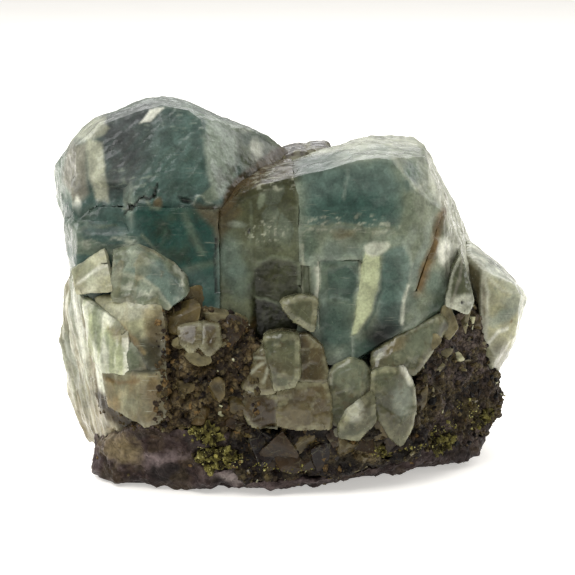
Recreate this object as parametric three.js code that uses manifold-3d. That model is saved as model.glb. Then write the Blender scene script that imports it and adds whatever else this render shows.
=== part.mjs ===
// A fluorite specimen: two large intergrown green crystals with smaller crystals, a brown quartz
// druse and lichen on a dark purple matrix. It stands on the flat underside of the matrix.
//
// Frame: millimetres, +Z up, +X to the right of the show face, +Y away from the viewer.
// The origin is the middle of the specimen's box, on the surface that it stands on.
//
// Every crystal is the convex hull of its corners, with cleavage notches cut out of it. A crystal
// that grew later is cut back by the ones it grew against, and the druse and the matrix are cut
// back by every crystal, so that each natural piece is a solid of its own.

import * as THREE from "three";
import { ConvexGeometry } from "three/addons/geometries/ConvexGeometry.js";
import { mergeVertices } from "three/addons/utils/BufferGeometryUtils.js";
import Module from "manifold-3d";

const wasm = await Module();
wasm.setup();

// ---- Driving dimensions ------------------------------------------------------------------

const WIDTH = 112; // left bulge of the left crystal to the tip of the side crystal
const DEPTH = 60; // front of the druse to the back of the matrix
const ROOT_GAP = 0.45; // how far a piece is held off its neighbour, along each axis
const MERGE = 1e-4; // corners closer than this are one corner
const LICHEN_THICKNESS = 2.2; // front to back of a lichen cushion
const LEFT = -WIDTH / 2;
const RIGHT = WIDTH / 2;
const FRONT = -DEPTH / 2;
const BACK = DEPTH / 2;
const FACE_HEIGHT = 50; // the height at which the depth of each leaning crystal face is given

// ---- Colours -----------------------------------------------------------------------------

const FINISHES = {
  fluorite_green: { color: 0x4a6a5c, roughness: 0.3, metalness: 0 },
  fluorite_pale: { color: 0x9aa48a, roughness: 0.25, metalness: 0 },
  quartz_smoky: { color: 0x6b6650, roughness: 0.3, metalness: 0 },
  druse_brown: { color: 0x4a3a28, roughness: 0.75, metalness: 0 },
  matrix_purple: { color: 0x3a3236, roughness: 0.7, metalness: 0 },
  lichen_green: { color: 0x8a8c4a, roughness: 0.9, metalness: 0 },
};

// ---- Corners -----------------------------------------------------------------------------

// Corners of one flat crystal face, from its outline as seen from the front, [x, z] by [x, z].
// depth is the face's y where x is 0 at FACE_HEIGHT, lean is how far it goes back per millimetre
// of height, and turn how far it goes back per millimetre to the right.
function face({ depth, lean, turn }, outline) {
  return outline.map(([x, z]) => [x, depth + lean * (z - FACE_HEIGHT) + turn * x, z]);
}

// A block from the outline of its front, running straight back to a depth.
function slab(front, depth) {
  return [...front, ...front.map(([x, , z]) => [x, depth, z])];
}

// ---- Solids ------------------------------------------------------------------------------

function toPoints(corners) {
  return corners.map(([x, y, z]) => new THREE.Vector3(x, y, z));
}

// The convex hull of some points, as a manifold-3d solid.
function solidAround(points) {
  const geometry = new ConvexGeometry(points);
  geometry.deleteAttribute("normal");
  const merged = mergeVertices(geometry, MERGE);
  return new wasm.Manifold(
    new wasm.Mesh({
      numProp: 3,
      vertProperties: merged.attributes.position.array,
      triVerts: new Uint32Array(merged.index.array),
    }),
  );
}

// One convex block of a crystal, and the same block held off on all sides, which cuts neighbours.
function block(corners) {
  const points = toPoints(corners);
  const steps = [
    [1, 0, 0],
    [0, 1, 0],
    [0, 0, 1],
  ].map((axis) => new THREE.Vector3(...axis).multiplyScalar(ROOT_GAP));
  const spread = points.flatMap((p) =>
    steps.flatMap((step) => [p.clone().add(step), p.clone().sub(step)]),
  );
  return { solid: solidAround(points), grown: solidAround(spread) };
}

// The largest body of a solid, because cutting may leave crumbs behind.
function largestBody(solid) {
  const bodies = solid.decompose();
  bodies.sort((a, b) => b.volume() - a.volume());
  return bodies[0];
}

// ---- The specimen, grown piece by piece ----------------------------------------------------

const specimen = new THREE.Group();
const grownPieces = [];

// Adds one natural piece: the union of its blocks, less its notches and the pieces before it.
function grow(name, finish, blocks, notches = []) {
  const made = blocks.map(block);
  let solid = made.map((b) => b.solid).reduce((a, b) => a.add(b));
  notches.forEach((corners) => {
    solid = solid.subtract(solidAround(toPoints(corners)));
  });
  grownPieces.forEach((neighbour) => {
    solid = solid.subtract(neighbour);
  });
  grownPieces.push(made.map((b) => b.grown).reduce((a, b) => a.add(b)));
  const mesh = largestBody(solid).getMesh();
  const geometry = new THREE.BufferGeometry();
  geometry.setAttribute("position", new THREE.BufferAttribute(mesh.vertProperties, mesh.numProp));
  geometry.setIndex(new THREE.BufferAttribute(mesh.triVerts, 1));
  const node = new THREE.Mesh(geometry, new THREE.MeshStandardMaterial(FINISHES[finish]));
  node.name = name;
  specimen.add(node);
}

// ---- Left crystal: an overhanging head on a broad body ---------------------------------------

const headFace = { depth: -21, lean: 0.42, turn: -0.03 };
const leftHead = [
  ...face(headFace, [
    [-44, 82.2],
    [-45.6, 79.4],
    [-44, 74.5],
    [-42.6, 70],
    [-42.5, 65.5],
    [-38.5, 83.8],
    [-33.5, 85.8],
    [-30, 86.6],
    [-24, 85.6],
    [-21.2, 84],
    [-19.6, 77.5],
    [-17.6, 69.5],
    [-16, 63.5],
  ]),
  // pale facets on the upper left and the grey one below them
  [-49, 5, 80],
  [-46, 5, 82.4],
  [-41, 6, 83.8],
  [-49.5, -5, 77.5],
  [-49, -8, 67],
  [-48.5, -9, 61.5],
  [-51.5, 5, 77],
  [-53.5, 6, 74],
  [-55.5, 8, 71],
  [LEFT, 9, 69],
  [-55.5, 7, 63.5],
  [-54, 6, 60.5],
  [-52.6, -1, 59.5],
  // the crown
  [-39, 8, 84],
  [-34, 10, 86.2],
  [-30.5, 12, 86.6],
  [-28.5, 12, 86.4],
  [-24, 12, 85],
  [-21, 11, 83.5],
  [-11, 9, 79.6],
  [-6, 9, 77.6],
  // right facet and the stained overhang under it
  [-1, 10, 73.8],
  [-2.6, 6, 72.2],
  [-8.5, -2, 71.5],
  [-14, -10, 67],
  // back of the head
  [-51, 25, 68],
  [-34, 27, 78],
  [-18, 27, 75],
  [-5, 25, 67],
  [-52, 23, 58],
  [-17, 24, 52],
  [-49, 22, 50],
];
const bodyFace = { depth: -21, lean: 0.18, turn: -0.1 };
const leftBody = [
  ...face(bodyFace, [
    [-44, 64.5],
    [-16.6, 64.5],
    [-16.6, 33],
    [-33, 33],
    [-47.5, 46],
    [-48.5, 51],
    [-48.5, 60],
  ]),
  [-52, -4, 59.5],
  [-51.6, -4, 50.5],
  [-52, 4, 38],
  [-52, 23, 54],
  [-18, 25, 54],
  [-18, 25, 24],
  [-50, 23, 24],
];
const leftNotches = [
  // open cleft along the seam between the head and the body
  [
    [-36.6, -18, 65.2],
    [-35.6, -18, 67.2],
    [-30.5, -18, 70.6],
    [-29.6, -18, 69.6],
    [-35.4, -18, 64.6],
    [-34.8, -11.4, 66.2],
    [-31, -11, 69.4],
  ],
  // small pit at the right end of the cleft
  [
    [-24.6, -18, 67.6],
    [-22.4, -18, 68],
    [-21, -18, 66.8],
    [-23.4, -18, 66.2],
    [-23, -12, 67],
  ],
];
grow("left_crystal", "fluorite_green", [leftHead, leftBody], leftNotches);

// ---- Centre crystal: the grey-green block between the two large crystals ----------------------

const centreFace = { depth: -18.8, lean: 0.2, turn: -0.03 };
const centreCrystal = [
  ...face(centreFace, [
    [-16, 63.5],
    [-11.5, 67.6],
    [-6.5, 69.8],
    [0.4, 71.4],
    [1.4, 68],
    [1, 62],
    [1.8, 53.5],
    [2, 45],
    [1.4, 36],
    [-8, 34],
    [-16.4, 34],
  ]),
  [-12, -4, 69.6],
  [-5, 4, 72],
  [0, 6, 72.6],
  [0, 10, 60],
  [-16, 10, 58],
  [-14, 8, 34],
  [0, 10, 34],
];
const centreNotches = [
  // deep dark window left by a lost cleavage block
  [
    [-8.2, -25, 52.4],
    [1.6, -25, 52.6],
    [1.6, -25, 40],
    [0.8, -25, 35],
    [-6.5, -25, 35],
    [-8.2, -25, 38],
    [-7.6, -15.4, 51.4],
    [0.9, -15.4, 51.6],
    [0.8, -16, 36],
    [-6.2, -16, 36],
    [-7.6, -16, 38.5],
  ],
];
grow("centre_crystal", "fluorite_green", [centreCrystal], centreNotches);

// ---- Right crystal: a tilted cube with striated top and side faces ----------------------------

const rightFace = { depth: -18.7, lean: 0.19, turn: -0.02 };
const rightCrystal = [
  ...face(rightFace, [
    [-3, 70.4],
    [6.5, 73],
    [10.5, 74],
    [15, 75.2],
    [20, 75.8],
    [22.5, 75.4],
    [24.5, 73.4],
    [26.6, 70.4],
    [27.4, 66],
    [26.4, 57],
    [26, 47],
    [25, 43],
    [25, 37.5],
    [12.5, 30],
    [-1, 30],
  ]),
  // turned faces on the right of the show face
  [26.6, -10, 75.4],
  [30.5, -7.5, 75.2],
  [32, -9.5, 69.5],
  [29.4, -14.2, 67.6],
  [34.6, -10.5, 62.5],
  [29, -18.2, 38],
  [36, -13.5, 42],
  [39.5, -4.5, 53.5],
  [42, 1, 47.5],
  [43, 2, 38],
  // top and right side, receding from the show face
  [-3, 4, 71.6],
  [7.5, 5, 74],
  [15, 13, 75.8],
  [19.5, 17, 76.3],
  [25, 19, 75.8],
  [29.5, 19, 75.8],
  [31.5, 14, 74.6],
  [33.5, 16, 71.2],
  [38, 19, 62.8],
  [42, 20, 54.8],
  [43.5, 20, 50.6],
  [44, 18, 26],
  [2.5, 23, 24],
  [4, 24, 62],
];
const rightNotches = [
  // sunken face whose slanting right wall is the pale blade
  [
    [5.6, -25, 53.6],
    [19.6, -25, 54],
    [19.4, -25, 41],
    [17, -25, 37.4],
    [14.2, -25, 36],
    [5.6, -25, 37.5],
    [6.2, -16.4, 52.8],
    [16.4, -16.2, 53.4],
    [15, -18.2, 46],
    [13.6, -20.9, 37],
    [6.2, -20.7, 37.6],
  ],
  // small chipped step above the blade
  [
    [16.6, -22, 56.8],
    [23.6, -22, 57.2],
    [20.4, -22, 53.8],
    [17.2, -22, 53.8],
    [17.6, -16.2, 56],
    [22, -16.4, 56.4],
    [19.4, -16.6, 54.6],
  ],
  // narrow upright steps beside the centre crystal
  [
    [1, -24, 53],
    [5, -24, 52.6],
    [5.2, -24, 44.6],
    [1, -24, 44.6],
    [1, -16.2, 52.4],
    [4.4, -17.8, 52],
    [4.6, -18.8, 45.2],
    [1, -17.6, 45.2],
  ],
  // stained groove down the edge between the two turned faces
  [
    [34.2, -16, 63.4],
    [35.8, -16, 62],
    [29.2, -21, 45],
    [27.4, -21, 45.6],
    [34.4, -9.6, 62.2],
    [28.6, -16.2, 46],
  ],
];
grow("right_crystal", "fluorite_green", [rightCrystal], rightNotches);

// ---- Crystals in the notch behind the two heads ------------------------------------------------

const notchLeft = [
  [-1.6, 8, 72.4],
  [1.5, 9, 73.4],
  [3.6, 9, 73.2],
  [4, 5, 70.6],
  [0.5, 2, 69],
  [-2.5, 5, 69.6],
];
const notchRight = [
  [4.4, 10, 73.6],
  [6.6, 11, 73.6],
  [8.4, 10, 73.4],
  [9, 8, 72],
  [4.8, 5, 70],
];
grow("notch_crystal_left", "quartz_smoky", [slab(notchLeft, 21)]);
grow("notch_crystal_right", "quartz_smoky", [slab(notchRight, 23)]);

// ---- Lower left: a pale stepped stack in front of the left crystal ------------------------------

const paleShard = [
  [-42.8, -18.4, 55],
  [-41, -21.8, 47.2],
  [-48.6, -18.4, 45.8],
  [-49.8, -16.8, 50.2],
];
const roundFaced = [
  // flat front with a bevel round its upper right
  [-40, -19, 54.6],
  [-35.5, -20.6, 55],
  [-31, -21.8, 52.4],
  [-27, -23, 48.8],
  [-24.8, -23.6, 46],
  [-28, -24.4, 43.6],
  [-33, -24.4, 44],
  [-40, -22.4, 45],
  [-40.2, -14, 55.4],
  [-34.5, -15, 56.6],
  [-29.5, -16.5, 54.6],
  [-26, -17.5, 52.4],
  [-24, -18.5, 50.2],
  [-23.8, -20.6, 46.6],
];
const shoulder = [
  [-44.5, -18.5, 44.2],
  [-36, -23.5, 45],
  [-29.8, -25, 43.3],
  [-29, -26.5, 40],
  [-28.8, -28, 29.5],
  [-31.6, -28, 29.5],
  [-29.8, -27, 33.6],
  [-36, -25.5, 38.4],
  [-40.5, -23.5, 41.6],
];
const paleColumn = [
  [-47, -19, 43.4],
  [-40.8, -24, 40.8],
  [-37.4, -25.5, 38.4],
  [-37.2, -28, 29.4],
  [-42.5, -25.5, 29.2],
  [-45, -21, 31],
];
const tealColumn = [
  [-36.8, -25, 38],
  [-30.4, -27, 33.2],
  [-32, -28.2, 29.8],
  [-36.8, -28.2, 29.6],
];
const stepCrystal = [
  [-42.5, -24.5, 28.6],
  [-37, -28, 29.2],
  [-32, -29.2, 29.2],
  [-28.8, -29, 29],
  [-28, -29.4, 18.8],
  [-33, -29.4, 17.5],
  [-41, -25.5, 21],
];
const leftFlank = [
  [-51.4, -6, 48],
  [-52.8, -3, 43],
  [-53.8, 0, 30],
  [-53.4, 1, 24.5],
  [-53, 2, 19],
  [-52.8, 3, 15.5],
  [-51.2, 4, 11],
  [-48.8, 5, 4.5],
  [-43, -15, 8],
  [-36, -22, 12.5],
  [-34, -23, 16],
  [-41.5, -22, 22],
  [-44, -19.5, 30],
  [-46, -17.5, 41.5],
  [-49, -14, 44.4],
  [-49, 22, 34],
  [-50, 22, 24],
  [-46, 20, 8],
];
grow("pale_shard_crystal", "fluorite_pale", [slab(paleShard, 0)]);
grow("round_faced_crystal", "fluorite_green", [slab(roundFaced, -6)]);
grow("shoulder_crystal", "fluorite_pale", [slab(shoulder, -8)]);
grow("pale_column_crystal", "fluorite_pale", [slab(paleColumn, -8)]);
grow("teal_column_crystal", "fluorite_green", [slab(tealColumn, -10)]);
grow("step_crystal", "fluorite_pale", [slab(stepCrystal, -10)]);
grow("left_flank_crystal", "fluorite_pale", [leftFlank]);

// ---- Right side: a pointed crystal and a clear cube behind it ------------------------------------

const pointed = [
  [39.4, -10.5, 53],
  [37, -14, 49],
  [36, -16.5, 44],
  [36, -17, 42.4],
  [40.4, -15.5, 40.4],
  [42, -12.5, 42.4],
];
const sideCube = [
  // front face
  [45, -2, 47.5],
  [48, -2, 46],
  [52.5, -1, 44],
  [54.2, 0, 41.2],
  [53.8, 0, 34.5],
  [53.2, 1, 31],
  [50, 0, 27.4],
  [48.6, -2, 26.8],
  [45.4, -3, 32],
  [44.8, -3, 38],
  // left side and the bright rim behind the front face
  [42, 2, 50],
  [42.4, 9, 52.4],
  [44.5, 12, 50.4],
  [48, 12, 47.8],
  [51.5, 11, 44.8],
  [54, 9, 42.4],
  [55.6, 7, 40.2],
  [RIGHT, 6, 39],
  [54.8, 8, 36],
  [54.4, 8, 32],
  [53.6, 7, 29],
  [51.6, 5, 24.6],
  [49.6, 4, 21.4],
  [47, 3, 19],
  // back
  [52, 19, 40],
  [51, 20, 26],
  [43, 19, 20],
  [43, 20, 48],
];
grow("pointed_crystal", "fluorite_pale", [slab(pointed, 2)]);
grow("side_crystal", "fluorite_pale", [sideCube]);

// ---- Front: glassy smoky crystals standing out of the druse --------------------------------------

const FRONT_CRYSTALS = {
  front_crystal_top: {
    outline: [
      [-1.6, -23.4, 44],
      [2.4, -23.2, 45.2],
      [5.4, -23.2, 44.6],
      [4.8, -24.4, 38.4],
      [1.2, -24.2, 40.8],
    ],
    root: -14,
  },
  front_crystal_upper: {
    outline: [
      [-5.6, -26, 36.5],
      [-2, -27, 37.5],
      [1.2, -27, 37],
      [1.4, -29, 28.5],
      [0.4, -29.2, 26.6],
      [-3.4, -29, 25.6],
      [-4, -28.6, 30],
    ],
    root: -18,
  },
  front_crystal_upper_right: {
    outline: [
      [1.8, -25, 36.6],
      [3.6, -25, 36.5],
      [6.5, -25, 34],
      [7.8, -26, 29],
      [7.6, -27, 26.8],
      [2, -27.4, 26.8],
    ],
    root: -17,
  },
  front_crystal_left: {
    outline: [
      [-10, -24, 31.5],
      [-6.3, -26, 34],
      [-4.6, -26.6, 31],
      [-4, -28, 25],
      [-6.5, -28, 24.6],
      [-10.5, -26, 25.2],
    ],
    root: -18,
  },
  front_crystal_lower_left: {
    outline: [
      [-10.5, -26, 24.2],
      [-5, -28, 23.8],
      [-3, -28.2, 23.4],
      [-3, -28.6, 15.6],
      [-5.5, -28.6, 16],
      [-9, -27.6, 17],
      [-10.6, -26.6, 20.5],
    ],
    root: -18,
  },
  front_crystal_lower_right: {
    outline: [
      [-2.4, -28, 24.8],
      [1.8, -28, 26.2],
      [7.6, -27, 26.2],
      [8.6, -27, 22],
      [8.6, -28, 16.5],
      [1.5, -29, 16.8],
      [-2.4, -29, 17.6],
    ],
    root: -17,
  },
  front_crystal_round: {
    outline: [
      [10.4, -24, 29.5],
      [13.5, -24.6, 31],
      [16, -24.6, 30],
      [18, -24, 27.5],
      [18.2, -25, 24.6],
      [15.6, -27, 21],
      [12.6, -27, 18],
      [10, -27, 13.8],
      [9.2, -27, 16.5],
      [8.8, -24.6, 27.5],
    ],
    root: -16,
  },
  front_crystal_knob: {
    outline: [
      [15.2, -28, 21.2],
      [18.2, -27.4, 23.6],
      [18.6, -28, 18],
      [15, -29, 14.2],
      [11.4, -29, 14.8],
      [11.6, -29, 17],
      [13.6, -28.8, 20],
    ],
    root: -18,
  },
  front_crystal_ramp: {
    outline: [
      [19, -21.5, 32],
      [24, -21, 35.5],
      [34.5, -16, 39],
      [36, -15, 37],
      [31, -18.5, 31.5],
      [28, -22, 27.6],
      [24, -24, 29.5],
      [19.5, -24, 28.6],
    ],
    root: -10,
  },
  front_crystal_right: {
    outline: [
      [18.8, -25.4, 28.2],
      [21.5, -25.6, 29.2],
      [25, -25, 28.8],
      [27.6, -24, 24.5],
      [28, -24, 20],
      [27, -24.6, 15.5],
      [25, -25.4, 12],
      [23, -26.2, 14],
      [21, -26.6, 19],
      [18.8, -26.4, 21],
    ],
    root: -14,
  },
  druse_crystal_left: {
    outline: [
      [-25.2, -26, 39],
      [-20.6, -26.4, 39.6],
      [-20.8, -28.6, 36],
      [-22.6, -29, 34.6],
      [-24.4, -28, 36],
    ],
    root: -21,
  },
  druse_crystal_right: {
    outline: [
      [-20.2, -26.2, 39.6],
      [-16.8, -26, 39.2],
      [-16.6, -28.4, 35.6],
      [-18.6, -29, 33.8],
      [-20.2, -28.4, 35.6],
    ],
    root: -21,
  },
};
Object.entries(FRONT_CRYSTALS).forEach(([name, { outline, root }]) => {
  grow(name, "quartz_smoky", [slab(outline, root)]);
});

// ---- Lichen patches, flat cushions on the druse and the matrix -------------------------------------

const LICHENS = {
  lichen_left_upper: [
    [-23, -29.6, 15.6],
    [-21, FRONT, 17.2],
    [-17.5, FRONT, 16.8],
    [-15.5, FRONT, 14],
    [-17, -29.6, 12.4],
    [-20.5, -29.6, 13],
  ],
  lichen_left_lower: [
    [-21.5, -29.2, 10.4],
    [-16.4, FRONT, 12],
    [-12.6, FRONT, 11.4],
    [-12.4, -29.4, 9],
    [-14.6, -29, 6.6],
    [-18.4, -28.6, 5.6],
    [-21.6, -28.8, 8.4],
  ],
  lichen_middle: [
    [18.6, -26.6, 10.6],
    [21, -25.4, 11.8],
    [24, -22.8, 9.6],
    [22.6, -23.6, 7.6],
    [19.8, -25.6, 8.4],
  ],
  lichen_right: [
    [32, -18.2, 8.6],
    [35, -16.4, 10.6],
    [38.6, -12.6, 9.8],
    [37.6, -13, 6.6],
    [34, -16, 6.2],
  ],
  lichen_edge: [
    [43.6, -6, 11.6],
    [46, -3.4, 13],
    [48.4, -1, 13],
    [47.4, -2, 10],
    [45, -4.4, 9.4],
  ],
};
Object.entries(LICHENS).forEach(([name, outline]) => {
  const behind = outline.map(([x, y, z]) => [x, y + LICHEN_THICKNESS, z]);
  grow(name, "lichen_green", [[...outline, ...behind]]);
});

// ---- Druse: the sandy brown quartz crust --------------------------------------------------------------

const leftDruse = [
  [-31, -21, 40],
  [-26, -22, 44],
  [-12, -22, 41],
  [-7, -23.5, 36],
  [-10, -26.5, 23],
  [-11, -27.6, 15],
  [-31, -27.4, 16.5],
  [-30.5, -27, 29],
  [-26, -28.6, 24],
  [-20.5, -28, 35],
  [-14, -27.6, 32],
];
const frontDruse = [
  [-12, -28.4, 17],
  [-6, -28.6, 18],
  [12, -28, 17],
  [20, -26.5, 15],
  [29, -20, 16],
  [32, -18, 9],
  [27, -19, 6.5],
  [18, -24, 5.5],
  [5, -27.2, 4.4],
  [-10, -28.6, 3.6],
  [-14, -28.6, 8],
];
const rightDruse = [
  [34.5, -12, 38],
  [43, -6, 40],
  [46, -3, 35],
  [47.6, -1, 29],
  [47, 0, 21],
  [49, 2, 17.6],
  [50.8, 4, 14],
  [50.4, 4, 10.4],
  [47.5, 1, 7],
  [40, -9, 6],
  [31, -17.5, 8],
  [28, -21, 15],
  [29, -21.5, 27],
  [33, -17, 33],
];
grow("left_druse", "druse_brown", [slab(leftDruse, -12)]);
grow("front_druse", "druse_brown", [slab(frontDruse, -10)]);
grow("right_druse", "druse_brown", [slab(rightDruse, 12)]);

// ---- Matrix: a flat-bottomed slab with a rough wall up the back ----------------------------------------

const matrixSlab = [
  // the flat underside that the specimen stands on
  [-45, -12, 0],
  [-41, -17, 0],
  [-28, -17, 0],
  [-10, -18, 0],
  [12, -15, 0],
  [30, -2, 0],
  [38, 10, 0],
  [34, 23, 0],
  [-38, 23, 0],
  // the rim, lifted a little off the ground
  [-46.2, -13, 2],
  [-45, -16, 0.8],
  [-41, -19.5, 0.8],
  [-33.5, -22.4, 2],
  [-24, -25.2, 2.4],
  [-12, -27.4, 2.4],
  [-4, -28.2, 2.6],
  [5, -26.8, 3],
  [12, -24.4, 3.6],
  [20, -20.4, 4],
  [29, -14.5, 4.4],
  [36.5, -8.4, 4],
  [45.2, -2, 2.2],
  [46, 2, 3],
  [44, 24, 3],
  [-45, 24, 3],
  // the top edge of the dark band
  [-46, -14.5, 8],
  [-44, -20, 10],
  [-33.5, -27, 17],
  [-20, -28, 17],
  [40, -6, 12],
  [47.4, 3, 8],
  [44, 24, 20],
  [-46, 22, 20],
];
const matrixWall = [
  [-46, 20, 6],
  [42, 20, 6],
  [-44, BACK - 1, 16],
  [-10, BACK, 14],
  [34, BACK - 1, 16],
  [-46, 26, 38],
  [-30, 29, 46],
  [-8, BACK, 50],
  [14, 29, 48],
  [34, 27, 44],
  [42, 23, 36],
  [-40, 20, 44],
  [36, 16, 46],
  [0, 14, 52],
  [0, -12, 30],
  [-30, -10, 28],
  [26, -6, 28],
];
grow("matrix_base", "matrix_purple", [matrixSlab, matrixWall]);

export default specimen;
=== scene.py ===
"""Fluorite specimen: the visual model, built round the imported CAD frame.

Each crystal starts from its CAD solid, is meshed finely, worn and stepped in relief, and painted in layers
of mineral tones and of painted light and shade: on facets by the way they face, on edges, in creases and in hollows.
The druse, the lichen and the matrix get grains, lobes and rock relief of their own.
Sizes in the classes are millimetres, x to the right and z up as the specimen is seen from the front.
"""

import logging
import math
from dataclasses import dataclass, field
from enum import Enum
from typing import Sequence

import bmesh
import bpy
import numpy as np
from mathutils import Euler, Matrix, Vector
from mathutils.bvhtree import BVHTree


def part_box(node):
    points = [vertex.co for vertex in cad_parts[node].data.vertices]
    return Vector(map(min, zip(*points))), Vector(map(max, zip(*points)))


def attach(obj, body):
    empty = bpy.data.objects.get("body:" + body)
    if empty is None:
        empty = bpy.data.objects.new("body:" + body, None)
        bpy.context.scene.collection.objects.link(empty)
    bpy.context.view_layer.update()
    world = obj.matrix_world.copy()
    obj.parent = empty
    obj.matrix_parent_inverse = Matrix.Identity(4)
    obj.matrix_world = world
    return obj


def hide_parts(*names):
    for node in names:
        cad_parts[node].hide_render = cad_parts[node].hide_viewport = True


LOG = logging.getLogger("fluorite")
MM = 0.001
BODY = "root"
EXPOSURE = 0.9
VEIL = 0.019
TINT = "tint"

Array = np.ndarray
Spot = tuple[float, float]


class Tone(Enum):
    """The tones of the specimen, its mineral colours and the painted light and shade laid on it, as display red, green
    and blue from 0 to 255.
    """

    PINE = (74, 91, 86)
    DEEP_PINE = (63, 81, 75)
    TEAL = (44, 72, 66)
    SEA = (94, 112, 106)
    SLATE = (82, 84, 85)
    HAZE = (118, 131, 121)
    MIST = (142, 152, 139)
    MOSS = (86, 90, 72)
    OLIVE = (62, 63, 46)
    GLOOM = (46, 48, 33)
    SAGE = (112, 120, 102)
    CREAM = (166, 169, 150)
    BUTTER = (166, 173, 140)
    BONE = (192, 195, 178)
    FROST = (234, 236, 222)
    STRAW = (164, 164, 134)
    TAUPE = (130, 128, 116)
    SAND = (128, 116, 88)
    RUST = (106, 88, 60)
    UMBER = (80, 70, 50)
    PEAT = (46, 38, 26)
    SOOT = (24, 21, 15)
    SMOKE = (86, 78, 58)
    DUSK = (62, 53, 38)
    GLASS = (112, 107, 84)
    PLUM = (58, 49, 48)
    LILAC = (124, 112, 112)
    LICHEN = (138, 133, 78)
    LICHEN_PALE = (182, 178, 120)
    LICHEN_DARK = (80, 76, 42)

    def linear(self) -> Array:
        """The tone as scene-linear red, green and blue, less what the gloss adds under the studio's light."""
        shown = np.array(self.value) / 255.0
        light = np.where(shown <= 0.04045, shown / 12.92, ((shown + 0.055) / 1.055) ** 2.4)
        light = light * np.array((1.0, 0.98, 0.96))
        level = light.mean()
        even = light * max(EXPOSURE - VEIL / level, 0.14)
        return np.clip(EXPOSURE * light - VEIL, 0.7 * even, 1.35 * even)


# ---------------------------------------------------------------- noise and the painted surface


def value_noise(points: Array, seed: int) -> Array:
    """Smooth noise with one feature per unit.

    Args:
        points: places, one row of three for each vertex.
        seed: picks the pattern.
    Returns:
        One number from -1 to 1 for each vertex.
    """
    low = np.floor(points).astype(np.int64)
    part = points - low
    part = part * part * part * (part * (part * 6.0 - 15.0) + 10.0)
    total = np.zeros(len(points))
    for corner in range(8):
        step = np.array([(corner >> axis) & 1 for axis in range(3)])
        weight = np.prod(np.where(step, part, 1.0 - part), axis=1)
        key = (low + step) @ np.array([73856093, 19349663, 83492791]) + seed * 7919
        key = (key ^ (key >> 13)) * 1274126177
        key = (key ^ (key >> 16)) & 0xFFFF
        total += weight * (key / 32767.5 - 1.0)
    return total


def layered_noise(points: Array, size: float, seed: int, octaves: int = 4) -> Array:
    """Noise of several sizes laid over one another.

    Args:
        points: places in millimetres.
        size: width of the largest feature, in millimetres.
        seed: picks the pattern.
        octaves: how many halvings of size are added.
    Returns:
        One number for each vertex, mostly from -1 to 1.
    """
    turned = points / size
    turn = np.array(Euler((0.6, 0.9, 0.4)).to_matrix())
    total = np.zeros(len(points))
    gain = 0.65
    for octave in range(octaves):
        total += gain * value_noise(turned, seed + octave)
        turned = turned @ turn * 2.03
        gain *= 0.55
    return total


def nearest_cells(points: Array, seed: int) -> tuple[Array, Array, Array]:
    """Finds the angular cell, one to each unit cube, that each place lies in.

    Args:
        points: places, one row of three for each vertex.
        seed: picks the pattern.
    Returns:
        For each vertex a random number from 0 to 1 that its cell has, its place from the cell's middle,
        and how near it is to the cell's border, from 0 at the border.
    """
    low = np.floor(points).astype(np.int64)
    best = np.full(len(points), 1e9)
    second = np.full(len(points), 1e9)
    value = np.zeros(len(points))
    local = np.zeros((len(points), 3))
    for corner in range(27):
        cell = low + np.array([corner % 3 - 1, corner // 3 % 3 - 1, corner // 9 - 1])
        key = cell @ np.array([73856093, 19349663, 83492791]) + seed * 7919
        draws = []
        for _ in range(4):
            key = (key ^ (key >> 13)) * 1274126177 + 12345
            draws.append(((key >> 8) & 0xFFFF) / 65535.0)
        away = points - cell - np.stack(draws[:3], axis=1)
        gap = np.einsum("ij,ij->i", away, away)
        closer = gap < best
        second = np.where(closer, best, np.minimum(second, gap))
        best = np.where(closer, gap, best)
        value = np.where(closer, draws[3], value)
        local[closer] = away[closer]
    return value, local, np.sqrt(second) - np.sqrt(best)


def smooth_step(low: float, high: float, value: Array) -> Array:
    """A soft rise from 0 at low to 1 at high."""
    part = np.clip((value - low) / (high - low), 0.0, 1.0)
    return part * part * (3.0 - 2.0 * part)


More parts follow.
